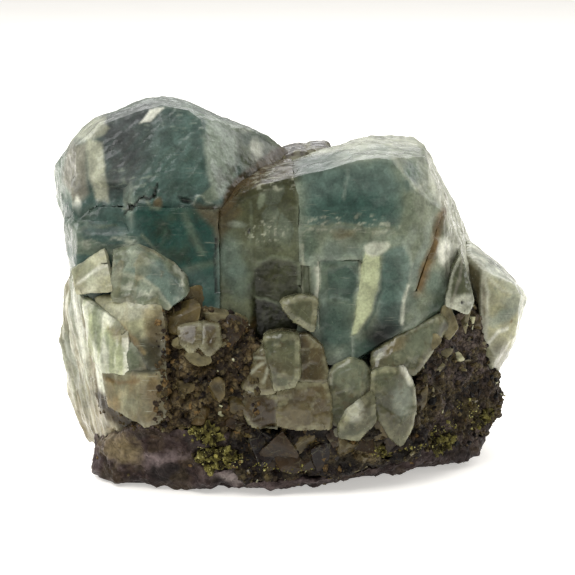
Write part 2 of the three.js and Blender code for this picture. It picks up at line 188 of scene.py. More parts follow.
class Surface:
    """The vertices of one piece: where they are, how they face, and the tint and relief laid on them."""

    def __init__(self, mesh: bpy.types.Mesh, ground: Tone, seed: int) -> None:
        """Reads a mesh.

        Args:
            mesh: the closed mesh, in metres.
            ground: the tone under every other layer.
            seed: picks every noise pattern of this piece.
        """
        count = len(mesh.vertices)
        places = np.empty(count * 3)
        mesh.vertices.foreach_get("co", places)
        self.points = places.reshape(-1, 3) / MM
        normals = np.empty(count * 3)
        mesh.vertex_normals.foreach_get("vector", normals)
        self.normals = normals.reshape(-1, 3)
        self.seed = seed
        over = smooth_step(0.7, 0.9, self.normals[:, 2]) * smooth_step(0.0, 7.0, self.points[:, 1])
        self.front = smooth_step(0.5, 0.15, self.normals[:, 1]) * (1.0 - 0.85 * over)
        self.ragged = np.stack([
            layered_noise(self.points, 3.4, seed + 11, 4),
            layered_noise(self.points, 3.4, seed + 23, 4),
        ])
        self.convex, self.hollow = self.measure_edges(mesh)
        self.tint = np.tile(ground.linear(), (count, 1))
        self.relief = np.zeros(count)

    def measure_edges(self, mesh: bpy.types.Mesh) -> tuple[Array, Array]:
        """Finds the crystal's edges and creases.

        Args:
            mesh: the mesh with its facets still flat.
        Returns:
            How much each vertex lies on an outward edge, and on an inward crease, from 0 to 1.
        """
        count = len(mesh.vertices)
        pairs = np.empty(len(mesh.edges) * 2, dtype=np.int64)
        mesh.edges.foreach_get("vertices", pairs)
        pairs = pairs.reshape(-1, 2)
        ends = np.diff(self.points[pairs], axis=1)[:, 0]
        bend = np.einsum("ij,ij->i", ends, self.normals[pairs[:, 1]] - self.normals[pairs[:, 0]])
        bend /= np.maximum(np.linalg.norm(ends, axis=1), 1e-6)
        total = np.bincount(pairs.ravel(), weights=np.repeat(bend, 2), minlength=count)
        convex = smooth_step(0.12, 1.1, total)
        hollow = smooth_step(0.12, 1.1, -total)
        return self.spread(convex, pairs), self.spread(hollow, pairs)

    @staticmethod
    def spread(mask: Array, pairs: Array) -> Array:
        """Lets a mask run out a little to the neighbours of each vertex."""
        count = len(mask)
        share = np.maximum(np.bincount(pairs.ravel(), minlength=count), 1)
        near = np.bincount(pairs[:, 0], weights=mask[pairs[:, 1]], minlength=count)
        near += np.bincount(pairs[:, 1], weights=mask[pairs[:, 0]], minlength=count)
        return np.clip(0.5 * mask + 0.6 * near / share, 0.0, 1.0)

    def lay(self, cover: Array, tone: Tone, strength: float, lift: float) -> None:
        """Lays one layer on the surface.

        Args:
            cover: how much of each vertex it covers, from 0 to 1.
            tone: its tone.
            strength: how strongly it hides what is under it.
            lift: how far it stands proud, or lies sunk where negative, in millimetres.
        """
        weight = (cover * strength)[:, None]
        self.tint = self.tint * (1.0 - weight) + tone.linear() * weight
        self.relief += cover * lift


# ---------------------------------------------------------------- marks


@dataclass(frozen=True)
class Mark:
    """One layer of tone and relief. Its kinds differ in what they cover."""

    tone: Tone
    strength: float = 0.7
    lift: float = 0.0

    def cover(self, surface: Surface) -> Array:
        """Everything."""
        return np.ones(len(surface.points))

    def apply(self, surface: Surface) -> None:
        """Lays this mark on a surface."""
        surface.lay(self.cover(surface), self.tone, self.strength, self.lift)


@dataclass(frozen=True)
class Patch(Mark):
    """A soft oval on the front."""

    x: float = 0.0
    z: float = 0.0
    wide: float = 5.0
    high: float = 5.0
    turn: float = 0.0
    soft: float = 0.5
    ragged: float = 0.7

    def cover(self, surface: Surface) -> Array:
        """The oval, with a ragged border."""
        east = surface.points[:, 0] + self.ragged * surface.ragged[0] - self.x
        up = surface.points[:, 2] + self.ragged * surface.ragged[1] - self.z
        angle = math.radians(self.turn)
        along = (east * math.cos(angle) + up * math.sin(angle)) / self.wide
        across = (up * math.cos(angle) - east * math.sin(angle)) / self.high
        reach = np.hypot(along, across)
        return smooth_step(1.0 + self.soft, 1.0 - self.soft, reach) * surface.front


@dataclass(frozen=True)
class Vein(Mark):
    """A line on the front: a crack, a ridge, a rust streak or a bright edge."""

    route: tuple[Spot, ...] = ()
    wide: float = 0.5
    soft: float = 0.4
    ragged: float = 0.35

    def cover(self, surface: Surface) -> Array:
        """What lies within half the width of the route."""
        east = surface.points[:, 0] + self.ragged * surface.ragged[0]
        up = surface.points[:, 2] + self.ragged * surface.ragged[1]
        nearest = np.full(len(east), 1e9)
        for (x0, z0), (x1, z1) in zip(self.route, self.route[1:]):
            run = np.array([x1 - x0, z1 - z0])
            part = ((east - x0) * run[0] + (up - z0) * run[1]) / max(run @ run, 1e-9)
            part = np.clip(part, 0.0, 1.0)
            gap = np.hypot(east - x0 - part * run[0], up - z0 - part * run[1])
            nearest = np.minimum(nearest, gap)
        half = self.wide / 2.0
        return smooth_step(half + self.soft, max(half - self.soft, 0.0), nearest) * surface.front


@dataclass(frozen=True)
class Plate(Mark):
    """A facet-like area on the front, within an outline."""

    outline: tuple[Spot, ...] = ()
    soft: float = 0.8
    ragged: float = 0.4

    def cover(self, surface: Surface) -> Array:
        """What lies inside the outline."""
        east = surface.points[:, 0] + self.ragged * surface.ragged[0]
        up = surface.points[:, 2] + self.ragged * surface.ragged[1]
        inside = np.zeros(len(east), dtype=bool)
        nearest = np.full(len(east), 1e9)
        for (x0, z0), (x1, z1) in zip(self.outline, self.outline[1:] + self.outline[:1]):
            run = np.array([x1 - x0, z1 - z0])
            part = ((east - x0) * run[0] + (up - z0) * run[1]) / max(run @ run, 1e-9)
            part = np.clip(part, 0.0, 1.0)
            gap = np.hypot(east - x0 - part * run[0], up - z0 - part * run[1])
            nearest = np.minimum(nearest, gap)
            spans = (z0 > up) != (z1 > up)
            if abs(z1 - z0) > 1e-9:
                inside ^= spans & (east < x0 + (up - z0) * run[0] / (z1 - z0))
        depth = np.where(inside, nearest, -nearest)
        return smooth_step(-self.soft, self.soft, depth) * surface.front


@dataclass(frozen=True)
class FacingLightShade(Mark):
    """Every facet that looks one way, given a tone that stands for the light falling on that side: painted light and
    shade.
    """

    towards: tuple[float, float, float] = (0.0, 0.0, 1.0)
    reach: float = 0.6

    def cover(self, surface: Surface) -> Array:
        """The facets that look that way."""
        way = np.array(Vector(self.towards).normalized())
        return smooth_step(self.reach, min(self.reach + 0.2, 1.0), surface.normals @ way)


@dataclass(frozen=True)
class Band(Mark):
    """A tone that comes in with height."""

    full: float = 0.0
    none: float = 10.0

    def cover(self, surface: Surface) -> Array:
        """All at the full height, nothing at the other."""
        level = surface.points[:, 2] + 2.0 * surface.ragged[0]
        part = np.clip((level - self.none) / (self.full - self.none), 0.0, 1.0)
        return part * part * (3.0 - 2.0 * part)


@dataclass(frozen=True)
class Cloud(Mark):
    """A scattered pattern: haze, scuffs, combed growth lines or specks, all over or within an oval."""

    size: float = 6.0
    share: float = 0.4
    crisp: float = 0.25
    stretch: float = 1.0
    turn: float = 0.0
    octaves: int = 4
    within: tuple[float, float, float, float] | None = None
    offset: int = 0

    def cover(self, surface: Surface) -> Array:
        """The pattern's covered share."""
        angle = math.radians(self.turn)
        east = surface.points[:, 0]
        up = surface.points[:, 2]
        along = (east * math.cos(angle) + up * math.sin(angle)) / self.stretch
        across = up * math.cos(angle) - east * math.sin(angle)
        places = np.stack([along, surface.points[:, 1], across], axis=1)
        seed = surface.seed + 101 + self.offset + int(self.size * 10)
        pattern = layered_noise(places, self.size, seed, self.octaves)
        level = np.quantile(pattern, 1.0 - self.share)
        cover = smooth_step(level - self.crisp, level + self.crisp, pattern)
        if self.within is not None:
            cover = cover * Patch(self.tone, x=self.within[0], z=self.within[1], wide=self.within[2],
                                  high=self.within[3], soft=0.3).cover(surface)
        return cover


@dataclass(frozen=True)
class Shards(Mark):
    """Angular cleavage facets: a share of them takes the tone, and each tilts its own way, its tone fading across it as
    painted shading of the tilt.
    """

    size: float = 5.0
    share: float = 0.4
    stretch: float = 2.0
    turn: float = 80.0
    within: tuple[float, float, float, float] | None = None
    offset: int = 0

    def cover(self, surface: Surface) -> Array:
        """The facets that take the tone, each fading across itself: the fade tilts the lift and paints shade across the
        tone.
        """
        angle = math.radians(self.turn)
        east = surface.points[:, 0] + 0.25 * surface.ragged[0]
        up = surface.points[:, 2] + 0.25 * surface.ragged[1]
        along = (east * math.cos(angle) + up * math.sin(angle)) / self.stretch
        across = up * math.cos(angle) - east * math.sin(angle)
        places = np.stack([along, surface.points[:, 1], across], axis=1) / self.size
        value, local, border = nearest_cells(places, surface.seed + 301 + self.offset)
        way = np.stack([np.sin(value * 97.0), 0.0 * value, np.cos(value * 97.0)], axis=1)
        # the fade across each shard tilts its lift and is painted shading on its tone
        tilt_and_shade = np.clip(0.62 + 0.75 * np.einsum("ij,ij->i", local, way), 0.0, 1.0)
        cover = (value < self.share) * tilt_and_shade * smooth_step(0.0, 0.06, border)
        if self.within is not None:
            cover = cover * Patch(self.tone, x=self.within[0], z=self.within[1], wide=self.within[2],
                                  high=self.within[3], soft=0.3).cover(surface)
        return cover


@dataclass(frozen=True)
class EdgeWearAndHighlight(Mark):
    """The outward edges, paler partly from wear and partly as a painted rim highlight, which lose small chips where
    lift is negative.
    """

    patchy: float = 0.5

    def cover(self, surface: Surface) -> Array:
        """The edges, broken up by noise."""
        broken = layered_noise(surface.points, 2.2, surface.seed + 31, 3)
        keep = 1.0 - self.patchy + self.patchy * smooth_step(-0.35, 0.35, broken)
        return surface.convex * keep


@dataclass(frozen=True)
class CreaseShade(Mark):
    """The inward creases, darkened with the tone as painted crease shade."""

    def cover(self, surface: Surface) -> Array:
        """The creases."""
        return surface.hollow


# ---------------------------------------------------------------- finishes


class Nodes:
    """A material's node tree with short calls for the nodes that the finishes use."""

    def __init__(self, name: str) -> None:
        """Starts a material with a Principled shader alone."""
        self.material = bpy.data.materials.new(name)
        self.material.use_nodes = True
        self.tree = self.material.node_tree
        self.tree.nodes.clear()
        self.shader = self.tree.nodes.new("ShaderNodeBsdfPrincipled")
        output = self.tree.nodes.new("ShaderNodeOutputMaterial")
        self.tree.links.new(self.shader.outputs["BSDF"], output.inputs["Surface"])
        self.place = self.tree.nodes.new("ShaderNodeTexCoord").outputs["Object"]

    def tint(self) -> bpy.types.NodeSocket:
        """The painted tint of the piece."""
        node = self.tree.nodes.new("ShaderNodeAttribute")
        node.attribute_name = TINT
        return node.outputs["Color"]

    def mapped(self, stretch: Sequence[float], turn: Sequence[float]) -> bpy.types.NodeSocket:
        """Object coordinates, turned by degrees and then stretched."""
        node = self.tree.nodes.new("ShaderNodeMapping")
        node.inputs["Rotation"].default_value = [math.radians(angle) for angle in turn]
        node.inputs["Scale"].default_value = [1.0 / part for part in stretch]
        self.tree.links.new(self.place, node.inputs["Vector"])
        return node.outputs["Vector"]

    def noise(self, size: float, detail: float = 4.0, warp: float = 0.0,
              stretch: Sequence[float] = (1.0, 1.0, 1.0),
              turn: Sequence[float] = (0.0, 0.0, 0.0)) -> bpy.types.NodeSocket:
        """Noise with features of a size.

        Args:
            size: feature width in millimetres.
            detail: finer layers.
            warp: distortion.
            stretch: how much longer the features are along each axis.
            turn: the turn of those axes, in degrees.
        Returns:
            The noise, about 0.5.
        """
        node = self.tree.nodes.new("ShaderNodeTexNoise")
        node.inputs["Scale"].default_value = 1.0 / (size * MM)
        node.inputs["Detail"].default_value = detail
        node.inputs["Distortion"].default_value = warp
        self.tree.links.new(self.mapped(stretch, turn), node.inputs["Vector"])
        return node.outputs["Fac"]

    def cells(self, size: float, feature: str = "F1") -> bpy.types.NodeSocket:
        """Distance to the middle, or with DISTANCE_TO_EDGE to the border, of cells of a size."""
        node = self.tree.nodes.new("ShaderNodeTexVoronoi")
        node.feature = feature
        node.inputs["Scale"].default_value = 1.0 / (size * MM)
        self.tree.links.new(self.place, node.inputs["Vector"])
        return node.outputs["Distance"]

    def remap(self, value: bpy.types.NodeSocket, low: float, high: float, to_low: float = 0.0,
              to_high: float = 1.0) -> bpy.types.NodeSocket:
        """A clamped soft ramp of a value."""
        node = self.tree.nodes.new("ShaderNodeMapRange")
        node.interpolation_type = "SMOOTHSTEP"
        for index, number in enumerate((low, high, to_low, to_high)):
            node.inputs[index + 1].default_value = number
        self.tree.links.new(value, node.inputs[0])
        return node.outputs[0]

    def maths(self, kind: str, first: bpy.types.NodeSocket, second: bpy.types.NodeSocket | float
              ) -> bpy.types.NodeSocket:
        """A sum, product or other maths of two values."""
        node = self.tree.nodes.new("ShaderNodeMath")
        node.operation = kind
        self.tree.links.new(first, node.inputs[0])
        if isinstance(second, (int, float)):
            node.inputs[1].default_value = second
        else:
            self.tree.links.new(second, node.inputs[1])
        return node.outputs[0]

    def mix(self, factor: bpy.types.NodeSocket, under: bpy.types.NodeSocket, tone: Tone,
            kind: str = "MIX") -> bpy.types.NodeSocket:
        """Lays a tone over a colour.

        Args:
            factor: how much of the tone shows.
            under: the colour under it.
            tone: the tone laid over.
            kind: the blend, such as MIX or MULTIPLY.
        Returns:
            The mixed colour.
        """
        node = self.tree.nodes.new("ShaderNodeMix")
        node.data_type = "RGBA"
        node.blend_type = kind
        colours = [socket for socket in node.inputs if socket.type == "RGBA"]
        self.tree.links.new(factor, node.inputs[0])
        self.tree.links.new(under, colours[0])
        colours[1].default_value = (*tone.linear(), 1.0)
        return next(socket for socket in node.outputs if socket.type == "RGBA")

    def shade(self, colour: bpy.types.NodeSocket, factor: bpy.types.NodeSocket) -> bpy.types.NodeSocket:
        """A colour made lighter or darker by a factor about 1."""
        node = self.tree.nodes.new("ShaderNodeVectorMath")
        node.operation = "SCALE"
        self.tree.links.new(colour, node.inputs[0])
        self.tree.links.new(factor, node.inputs["Scale"])
        return node.outputs["Vector"]

    def bump(self, height: bpy.types.NodeSocket, depth: float) -> None:
        """Gives the shader a bump of a depth in millimetres."""
        node = self.tree.nodes.new("ShaderNodeBump")
        node.inputs["Strength"].default_value = 0.6
        node.inputs["Distance"].default_value = depth * MM
        self.tree.links.new(height, node.inputs["Height"])
        self.tree.links.new(node.outputs["Normal"], self.shader.inputs["Normal"])

    def link(self, socket: bpy.types.NodeSocket, name: str) -> None:
        """Feeds one of the shader's inputs."""
        self.tree.links.new(socket, self.shader.inputs[name])

    def fix(self, **values: float) -> None:
        """Sets constants on the shader's own inputs, named with underscores for spaces."""
        for name, value in values.items():
            self.shader.inputs[name.replace("_", " ")].default_value = value


@dataclass(frozen=True)
class FluoriteFinish:
    """Vitreous, slightly frosted fluorite: cloudy inside, with cleavage lines and pale scuffs."""

    name: str
    dull: float = 0.24
    scuffs: float = 0.32
    depth: float = 0.12
    glow: float = 0.12
    coat: float = 0.28

    def build(self) -> bpy.types.Material:
        """Makes the material."""
        nodes = Nodes(self.name)
        cloud = nodes.noise(3.2, detail=5.0, warp=0.6)
        colour = nodes.shade(nodes.tint(), nodes.remap(cloud, 0.3, 0.7, 0.74, 1.26))
        grain = nodes.noise(0.55, detail=3.0)
        colour = nodes.shade(colour, nodes.remap(grain, 0.3, 0.7, 0.87, 1.13))
        steep = nodes.noise(0.35, detail=2.0, stretch=(14.0, 14.0, 1.0), turn=(0.0, 38.0, 0.0))
        level = nodes.noise(0.4, detail=2.0, stretch=(12.0, 12.0, 1.0), turn=(0.0, -6.0, 0.0))
        lines = nodes.maths("MAXIMUM", nodes.remap(steep, 0.62, 0.76), nodes.remap(level, 0.68, 0.8))
        spread = nodes.remap(nodes.noise(7.0, detail=3.0), 0.45, 0.62)
        scuff = nodes.maths("MULTIPLY", lines, spread)
        colour = nodes.mix(nodes.maths("MULTIPLY", scuff, self.scuffs), colour, Tone.CREAM)
        specks = nodes.remap(nodes.noise(0.5, detail=2.0), 0.71, 0.78)
        specks = nodes.maths("MULTIPLY", specks, nodes.remap(nodes.noise(5.0), 0.46, 0.6))
        colour = nodes.mix(nodes.maths("MULTIPLY", specks, self.scuffs), colour, Tone.BONE)
        nodes.link(colour, "Base Color")
        frosted = nodes.remap(nodes.noise(4.0, detail=4.0), 0.35, 0.65, self.dull - 0.1, self.dull + 0.22)
        nodes.link(nodes.maths("ADD", frosted, nodes.maths("MULTIPLY", scuff, 0.25)), "Roughness")
        height = nodes.maths("ADD", grain, nodes.maths("MULTIPLY", lines, 0.6))
        height = nodes.maths("ADD", height, nodes.maths("MULTIPLY", cloud, 1.5))
        nodes.bump(height, self.depth)
        nodes.fix(IOR=1.434, Specular_IOR_Level=0.22, Coat_Weight=self.coat, Coat_Roughness=0.07, Coat_IOR=1.43)
        nodes.fix(Subsurface_Weight=self.glow, Subsurface_Scale=0.0025, Subsurface_Radius=(0.8, 1.0, 0.85))
        return nodes.material


@dataclass(frozen=True)
class QuartzFinish:
    """Smoky glassy quartz with veils, tiny cracks and a wet gloss."""

    name: str
    dull: float = 0.16
    depth: float = 0.06
    coat: float = 0.35

    def build(self) -> bpy.types.Material:
        """Makes the material."""
        nodes = Nodes(self.name)
        veil = nodes.noise(2.4, detail=6.0, warp=1.4)
        colour = nodes.shade(nodes.tint(), nodes.remap(veil, 0.3, 0.7, 0.8, 1.2))
        cracks = nodes.remap(nodes.cells(2.6, "DISTANCE_TO_EDGE"), 0.05, 0.0)
        cracks = nodes.maths("MULTIPLY", cracks, nodes.remap(nodes.noise(3.0), 0.48, 0.62))
        colour = nodes.mix(nodes.maths("MULTIPLY", cracks, 0.16), colour, Tone.STRAW)
        specks = nodes.remap(nodes.noise(0.45, detail=2.0), 0.68, 0.76)
        colour = nodes.mix(nodes.maths("MULTIPLY", specks, 0.22), colour, Tone.BONE)
        dirt = nodes.remap(nodes.noise(1.6, detail=5.0, warp=0.5), 0.56, 0.7)
        colour = nodes.mix(nodes.maths("MULTIPLY", dirt, 0.45), colour, Tone.UMBER)
        nodes.link(colour, "Base Color")
        frosted = nodes.remap(nodes.noise(1.8, detail=4.0), 0.4, 0.66, self.dull - 0.06, self.dull + 0.3)
        nodes.link(frosted, "Roughness")
        height = nodes.maths("ADD", veil, nodes.maths("MULTIPLY", nodes.noise(0.6, detail=3.0), 0.4))
        nodes.bump(height, self.depth)
        nodes.fix(IOR=1.54, Specular_IOR_Level=0.2, Coat_Weight=self.coat, Coat_Roughness=0.08)
        nodes.fix(Subsurface_Weight=0.15, Subsurface_Scale=0.002, Subsurface_Radius=(1.0, 0.9, 0.7))
        return nodes.material


@dataclass(frozen=True)
class CrustFinish:
    """Granular crust or rock: dull, dirty and rough, with glints where it is crystalline."""

    name: str
    grain: float = 0.7
    contrast: float = 0.35
    fleck: Tone = Tone.SAND
    flecks: float = 0.4
    gap: Tone = Tone.PEAT
    gaps: float = 0.6
    dull: float = 0.6
    depth: float = 0.35

    def build(self) -> bpy.types.Material:
        """Makes the material."""
        nodes = Nodes(self.name)
        broad = nodes.noise(self.grain * 5.0, detail=5.0)
        fine = nodes.noise(self.grain, detail=4.0, warp=0.4)
        low, high = 1.0 - self.contrast, 1.0 + self.contrast
        colour = nodes.shade(nodes.tint(), nodes.remap(fine, 0.3, 0.7, low, high))
        flecks = nodes.remap(nodes.noise(self.grain * 0.7, detail=2.0), 0.6, 0.7)
        flecks = nodes.maths("MULTIPLY", flecks, nodes.remap(broad, 0.4, 0.62))
        colour = nodes.mix(nodes.maths("MULTIPLY", flecks, self.flecks), colour, self.fleck)
        gaps = nodes.remap(nodes.cells(self.grain * 2.2, "DISTANCE_TO_EDGE"), 0.09, 0.0)
        gaps = nodes.maths("MAXIMUM", gaps, nodes.remap(fine, 0.4, 0.3))
        colour = nodes.mix(nodes.maths("MULTIPLY", gaps, self.gaps), colour, self.gap)
        nodes.link(colour, "Base Color")
        nodes.link(nodes.remap(fine, 0.35, 0.7, self.dull + 0.2, self.dull - 0.2), "Roughness")
        height = nodes.maths("SUBTRACT", fine, nodes.maths("MULTIPLY", gaps, 0.4))
        nodes.bump(nodes.maths("ADD", height, broad), self.depth)
        nodes.fix(IOR=1.5, Specular_IOR_Level=0.22)
        return nodes.material


# ---------------------------------------------------------------- meshes


def fine_copy(node: str, cell: float, rounds: int) -> bpy.types.Mesh:
    """A finely and evenly meshed copy of a CAD solid, with its edges worn round.

    Args:
        node: the CAD node.
        cell: the mesh cell in millimetres.
        rounds: how many times the edges are worn.
    Returns:
        The new mesh, in metres.
    """
    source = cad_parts[node]
    work = bmesh.new()
    work.from_mesh(source.data)
    bmesh.ops.remove_doubles(work, verts=work.verts, dist=0.00001)
    mesh = bpy.data.meshes.new(node + "_solid")
    work.to_mesh(mesh)
    work.free()
    holder = bpy.data.objects.new(node + "_solid", mesh)
    bpy.context.scene.collection.objects.link(holder)
    low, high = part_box(node)
    longest = max(high - low) / MM
    depth = max(3, math.ceil(math.log2(longest / cell / 0.98)))
    remesh = holder.modifiers.new("even", "REMESH")
    remesh.mode = "SHARP"
    remesh.octree_depth = depth
    remesh.scale = longest / (cell * 2 ** depth)
    remesh.sharpness = 1.0
    remesh.use_remove_disconnected = False
    graph = bpy.context.evaluated_depsgraph_get()
    result = bpy.data.meshes.new_from_object(holder.evaluated_get(graph))
    bpy.data.objects.remove(holder)
    bpy.data.meshes.remove(mesh)
    work = bmesh.new()
    work.from_mesh(result)
    for _ in range(rounds):
        bmesh.ops.smooth_vert(work, verts=work.verts, factor=0.5, use_axis_x=True, use_axis_y=True,
                              use_axis_z=True)
    work.to_mesh(result)
    work.free()
    return result


def store_tint(mesh: bpy.types.Mesh, tint: Array) -> None:
    """Writes the tint of every vertex to the mesh's tint attribute."""
    layer = mesh.color_attributes.new(TINT, "FLOAT_COLOR", "POINT")
    rows = np.ones((len(mesh.vertices), 4), dtype=np.float32)
    rows[:, :3] = np.clip(tint, 0.0, 1.0)
    layer.data.foreach_set("color", rows.ravel())


def present(mesh: bpy.types.Mesh, name: str, material: bpy.types.Material,
            nodes: Sequence[str] = ()) -> bpy.types.Object:
    """Shows a finished mesh as a piece of the specimen.

    Args:
        mesh: the mesh, in place.
        name: the piece's name.
        material: its finish.
        nodes: the CAD nodes that it stands for.
    Returns:
        The piece.
    """
    mesh.materials.clear()
    mesh.materials.append(material)
    piece = bpy.data.objects.new(name, mesh)
    bpy.context.scene.collection.objects.link(piece)
    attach(piece, BODY)
    if nodes:
        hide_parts(*nodes)
    LOG.info("%s: %d faces", name, len(mesh.polygons))
    return piece


@dataclass(frozen=True)
class Relief:
    """How a crystal's faces depart from flat, in millimetres."""

    grow: float = 0.36
    swell: float = 0.35
    swell_size: float = 9.0
    step: float = 0.05
    step_size: float = 5.0
    comb: float = 0.0
    comb_size: float = 1.1
    comb_stretch: float = 7.0
    comb_turn: float = 40.0
    grit: float = 0.05

    def apply(self, surface: Surface) -> None:
        """Adds the relief to a surface."""
        surface.relief += self.grow
        surface.relief += self.swell * layered_noise(surface.points, self.swell_size, surface.seed + 41, 3)
        ladder = layered_noise(surface.points, self.step_size, surface.seed + 47, 4) * 5.0
        stair = np.floor(ladder) + smooth_step(0.35, 0.65, ladder - np.floor(ladder))
        surface.relief += self.step * stair
        surface.relief += self.grit * layered_noise(surface.points, 1.0, surface.seed + 53, 2)
        if self.comb:
            lines = Cloud(Tone.PINE, size=self.comb_size, share=0.5, crisp=0.3, stretch=self.comb_stretch,
                          turn=self.comb_turn, octaves=2)
            surface.relief += self.comb * lines.cover(surface)


@dataclass(frozen=True)
class Fill:
    """Brings what lies near a plane onto it, within an outline on the front, in millimetres.

    The plane's y is depth + lean * (z - 50) + turn * x, as for the faces of the CAD.
    """

    depth: float
    lean: float
    turn: float
    outline: tuple[Spot, ...]
    reach: float = 4.0
    soft: float = 1.0

    def apply(self, mesh: bpy.types.Mesh) -> None:
        """Moves the vertices of a mesh, which is in metres."""
        surface = Surface(mesh, Tone.PINE, 1)
        points = surface.points.copy()
        level = self.depth + self.lean * (points[:, 2] - 50.0) + self.turn * points[:, 0]
        surface.front = (np.abs(points[:, 1] - level) < self.reach).astype(float)
        share = Plate(Tone.PINE, outline=self.outline, soft=self.soft, ragged=0.5).cover(surface)
        points[:, 1] += (level - points[:, 1]) * share
        mesh.vertices.foreach_set("co", (points * MM).ravel())
        mesh.update()


@dataclass
class Crystal:
    """One crystal of the specimen, grown from its CAD solid."""

    node: str
    ground: Tone
    finish: bpy.types.Material
    slot: str
    marks: tuple[Mark, ...] = ()
    relief: Relief = field(default_factory=Relief)
    cell: float = 0.5
    crisp: float = 32.0
    seed: int = 1
    rounds: int = 1
    fills: tuple[Fill, ...] = ()

    def build(self) -> bpy.types.Object:
        """Meshes, paints and wears the crystal.

        Returns:
            The finished piece.
        """
        mesh = fine_copy(self.node, self.cell, self.rounds)
        for fill in self.fills:
            fill.apply(mesh)
        surface = Surface(mesh, self.ground, self.seed * 37)
        for mark in self.marks:
            mark.apply(surface)
        self.relief.apply(surface)
        relief = np.clip(surface.relief, -1.6, 3.2)
        base = smooth_step(0.2, 1.5, surface.points[:, 2])
        moved = surface.points + surface.normals * (relief * base)[:, None]
        mesh.vertices.foreach_set("co", (moved * MM).ravel())
        mesh.shade_smooth()
        mesh.set_sharp_from_angle(angle=math.radians(self.crisp))
        store_tint(mesh, surface.tint)
        mesh.update()
        return present(mesh, self.node + "_grown", self.finish, (self.node,))


# ---------------------------------------------------------------- grains


class GrainShape(Enum):
    """The small shapes that crusts are made of."""

    NUGGET = "nugget"
    POINT = "point"
    LOBE = "lobe"


@dataclass(frozen=True)
class Grains:
    """Many small grains strewn over a piece, within ovals seen from the front."""

    name: str
    shape: GrainShape
    count: int
    small: float
    large: float
    tones: tuple[Tone, ...]
    slot: str
    areas: tuple[tuple[float, float, float, float], ...] = ()
    sink: float = 0.25
    flat: float = 1.0
    seed: int = 5
    behind: bool = True

    def places(self, hosts: Sequence[bpy.types.Object], random: np.random.Generator
               ) -> list[tuple[Vector, Vector]]:
        """Picks where the grains sit.

        Args:
            hosts: the pieces they sit on.
            random: the draws.
        Returns:
            A place in metres and a facing for each grain.
        """
        centres, normals, sizes = [], [], []
        for host in hosts:
            count = len(host.data.polygons)
            for store, kind, width in ((centres, "center", 3), (normals, "normal", 3), (sizes, "area", 1)):
                row = np.empty(count * width)
                host.data.polygons.foreach_get(kind, row)
                store.append(row.reshape(count, width))
        centre = np.concatenate(centres)
        normal = np.concatenate(normals)
        weight = np.concatenate(sizes)[:, 0]
        weight = weight * (centre[:, 2] > 0.0012)
        if not self.behind:
            weight = weight * (normal[:, 1] < 0.2)
        if self.areas:
            inside = np.zeros(len(weight))
            for x, z, wide, high in self.areas:
                reach = np.hypot((centre[:, 0] / MM - x) / wide, (centre[:, 2] / MM - z) / high)
                inside = np.maximum(inside, smooth_step(1.25, 0.75, reach))
            weight = weight * inside
        picked = random.choice(len(weight), size=self.count, p=weight / weight.sum())
        return [(Vector(centre[index]), Vector(normal[index])) for index in picked]

    def add(self, work: bmesh.types.BMesh, place: Vector, facing: Vector, random: np.random.Generator
            ) -> int:
        """Adds one grain to a mesh in progress.

        Args:
            work: the mesh in progress.
            place: where it sits.
            facing: which way it stands out.
            random: the draws.
        Returns:
            How many vertices it has.
        """
        size = self.small + (self.large - self.small) * random.random() ** 2.2
        size *= MM
        loose = Vector(random.normal(size=3)) * (0.35 if self.shape is GrainShape.LOBE else 0.6)
        turn = (facing + loose).normalized().to_track_quat("Z", "Y").to_matrix().to_4x4()
        spin = Matrix.Rotation(random.random() * math.tau, 4, "Z")
        stretch = Matrix.Diagonal((*random.uniform(0.65, 1.3, 2), self.flat * random.uniform(0.7, 1.3), 1.0))
        seat = Matrix.Translation(place - facing * size * self.sink)
        matrix = seat @ turn @ spin @ stretch
        if self.shape is GrainShape.POINT:
            made = bmesh.ops.create_cone(work, cap_ends=True, segments=6, radius1=size * 0.42,
                                         radius2=size * 0.36, depth=size * 1.7, matrix=matrix)
            top = [vert for vert in made["verts"] if len(vert.link_faces) and
                   (matrix.inverted() @ vert.co).z > 0.0]
            tip = matrix @ Vector((0.0, 0.0, size * 1.15))
            for vert in top:
                vert.co = vert.co.lerp(tip, 0.62)
        else:
            made = bmesh.ops.create_icosphere(work, subdivisions=1, radius=size * 0.5, matrix=matrix)
            for vert in made["verts"]:
                vert.co += Vector(random.normal(size=3)) * size * 0.08
        return len(made["verts"])

    def build(self, hosts: Sequence[bpy.types.Object], material: bpy.types.Material) -> bpy.types.Object:
        """Strews the grains over their hosts as one piece.

        Args:
            hosts: the pieces they sit on.
            material: their finish.
        Returns:
            The finished piece.
        """
        random = np.random.default_rng(self.seed)
        mesh = bpy.data.meshes.new(self.name)
        spots = self.places(hosts, random)
        tints = []
        whole = bmesh.new()
        for start in range(0, len(spots), 100):
            part = bmesh.new()
            for place, facing in spots[start:start + 100]:
                count = self.add(part, place, facing, random)
                tone = self.tones[int(random.integers(len(self.tones)))].linear()
                tints += [tone * random.uniform(0.75, 1.25)] * count
            part.to_mesh(mesh)
            part.free()
            whole.from_mesh(mesh)
        floor = 0.0004
        for vert in whole.verts:
            vert.co.z = max(vert.co.z, floor)
        whole.to_mesh(mesh)
        whole.free()
        store_tint(mesh, np.array(tints))
        mesh.shade_flat()
        return present(mesh, self.name, material)


@dataclass(frozen=True)
class Lump:
    """One small quartz crystal, seen from the front: its middle, half sizes and lean in degrees."""

    x: float
    z: float
    wide: float
    high: float
    lean: float = 0.0
    tone: Tone = Tone.SMOKE
    proud: float = 0.22
    facets: int = 9


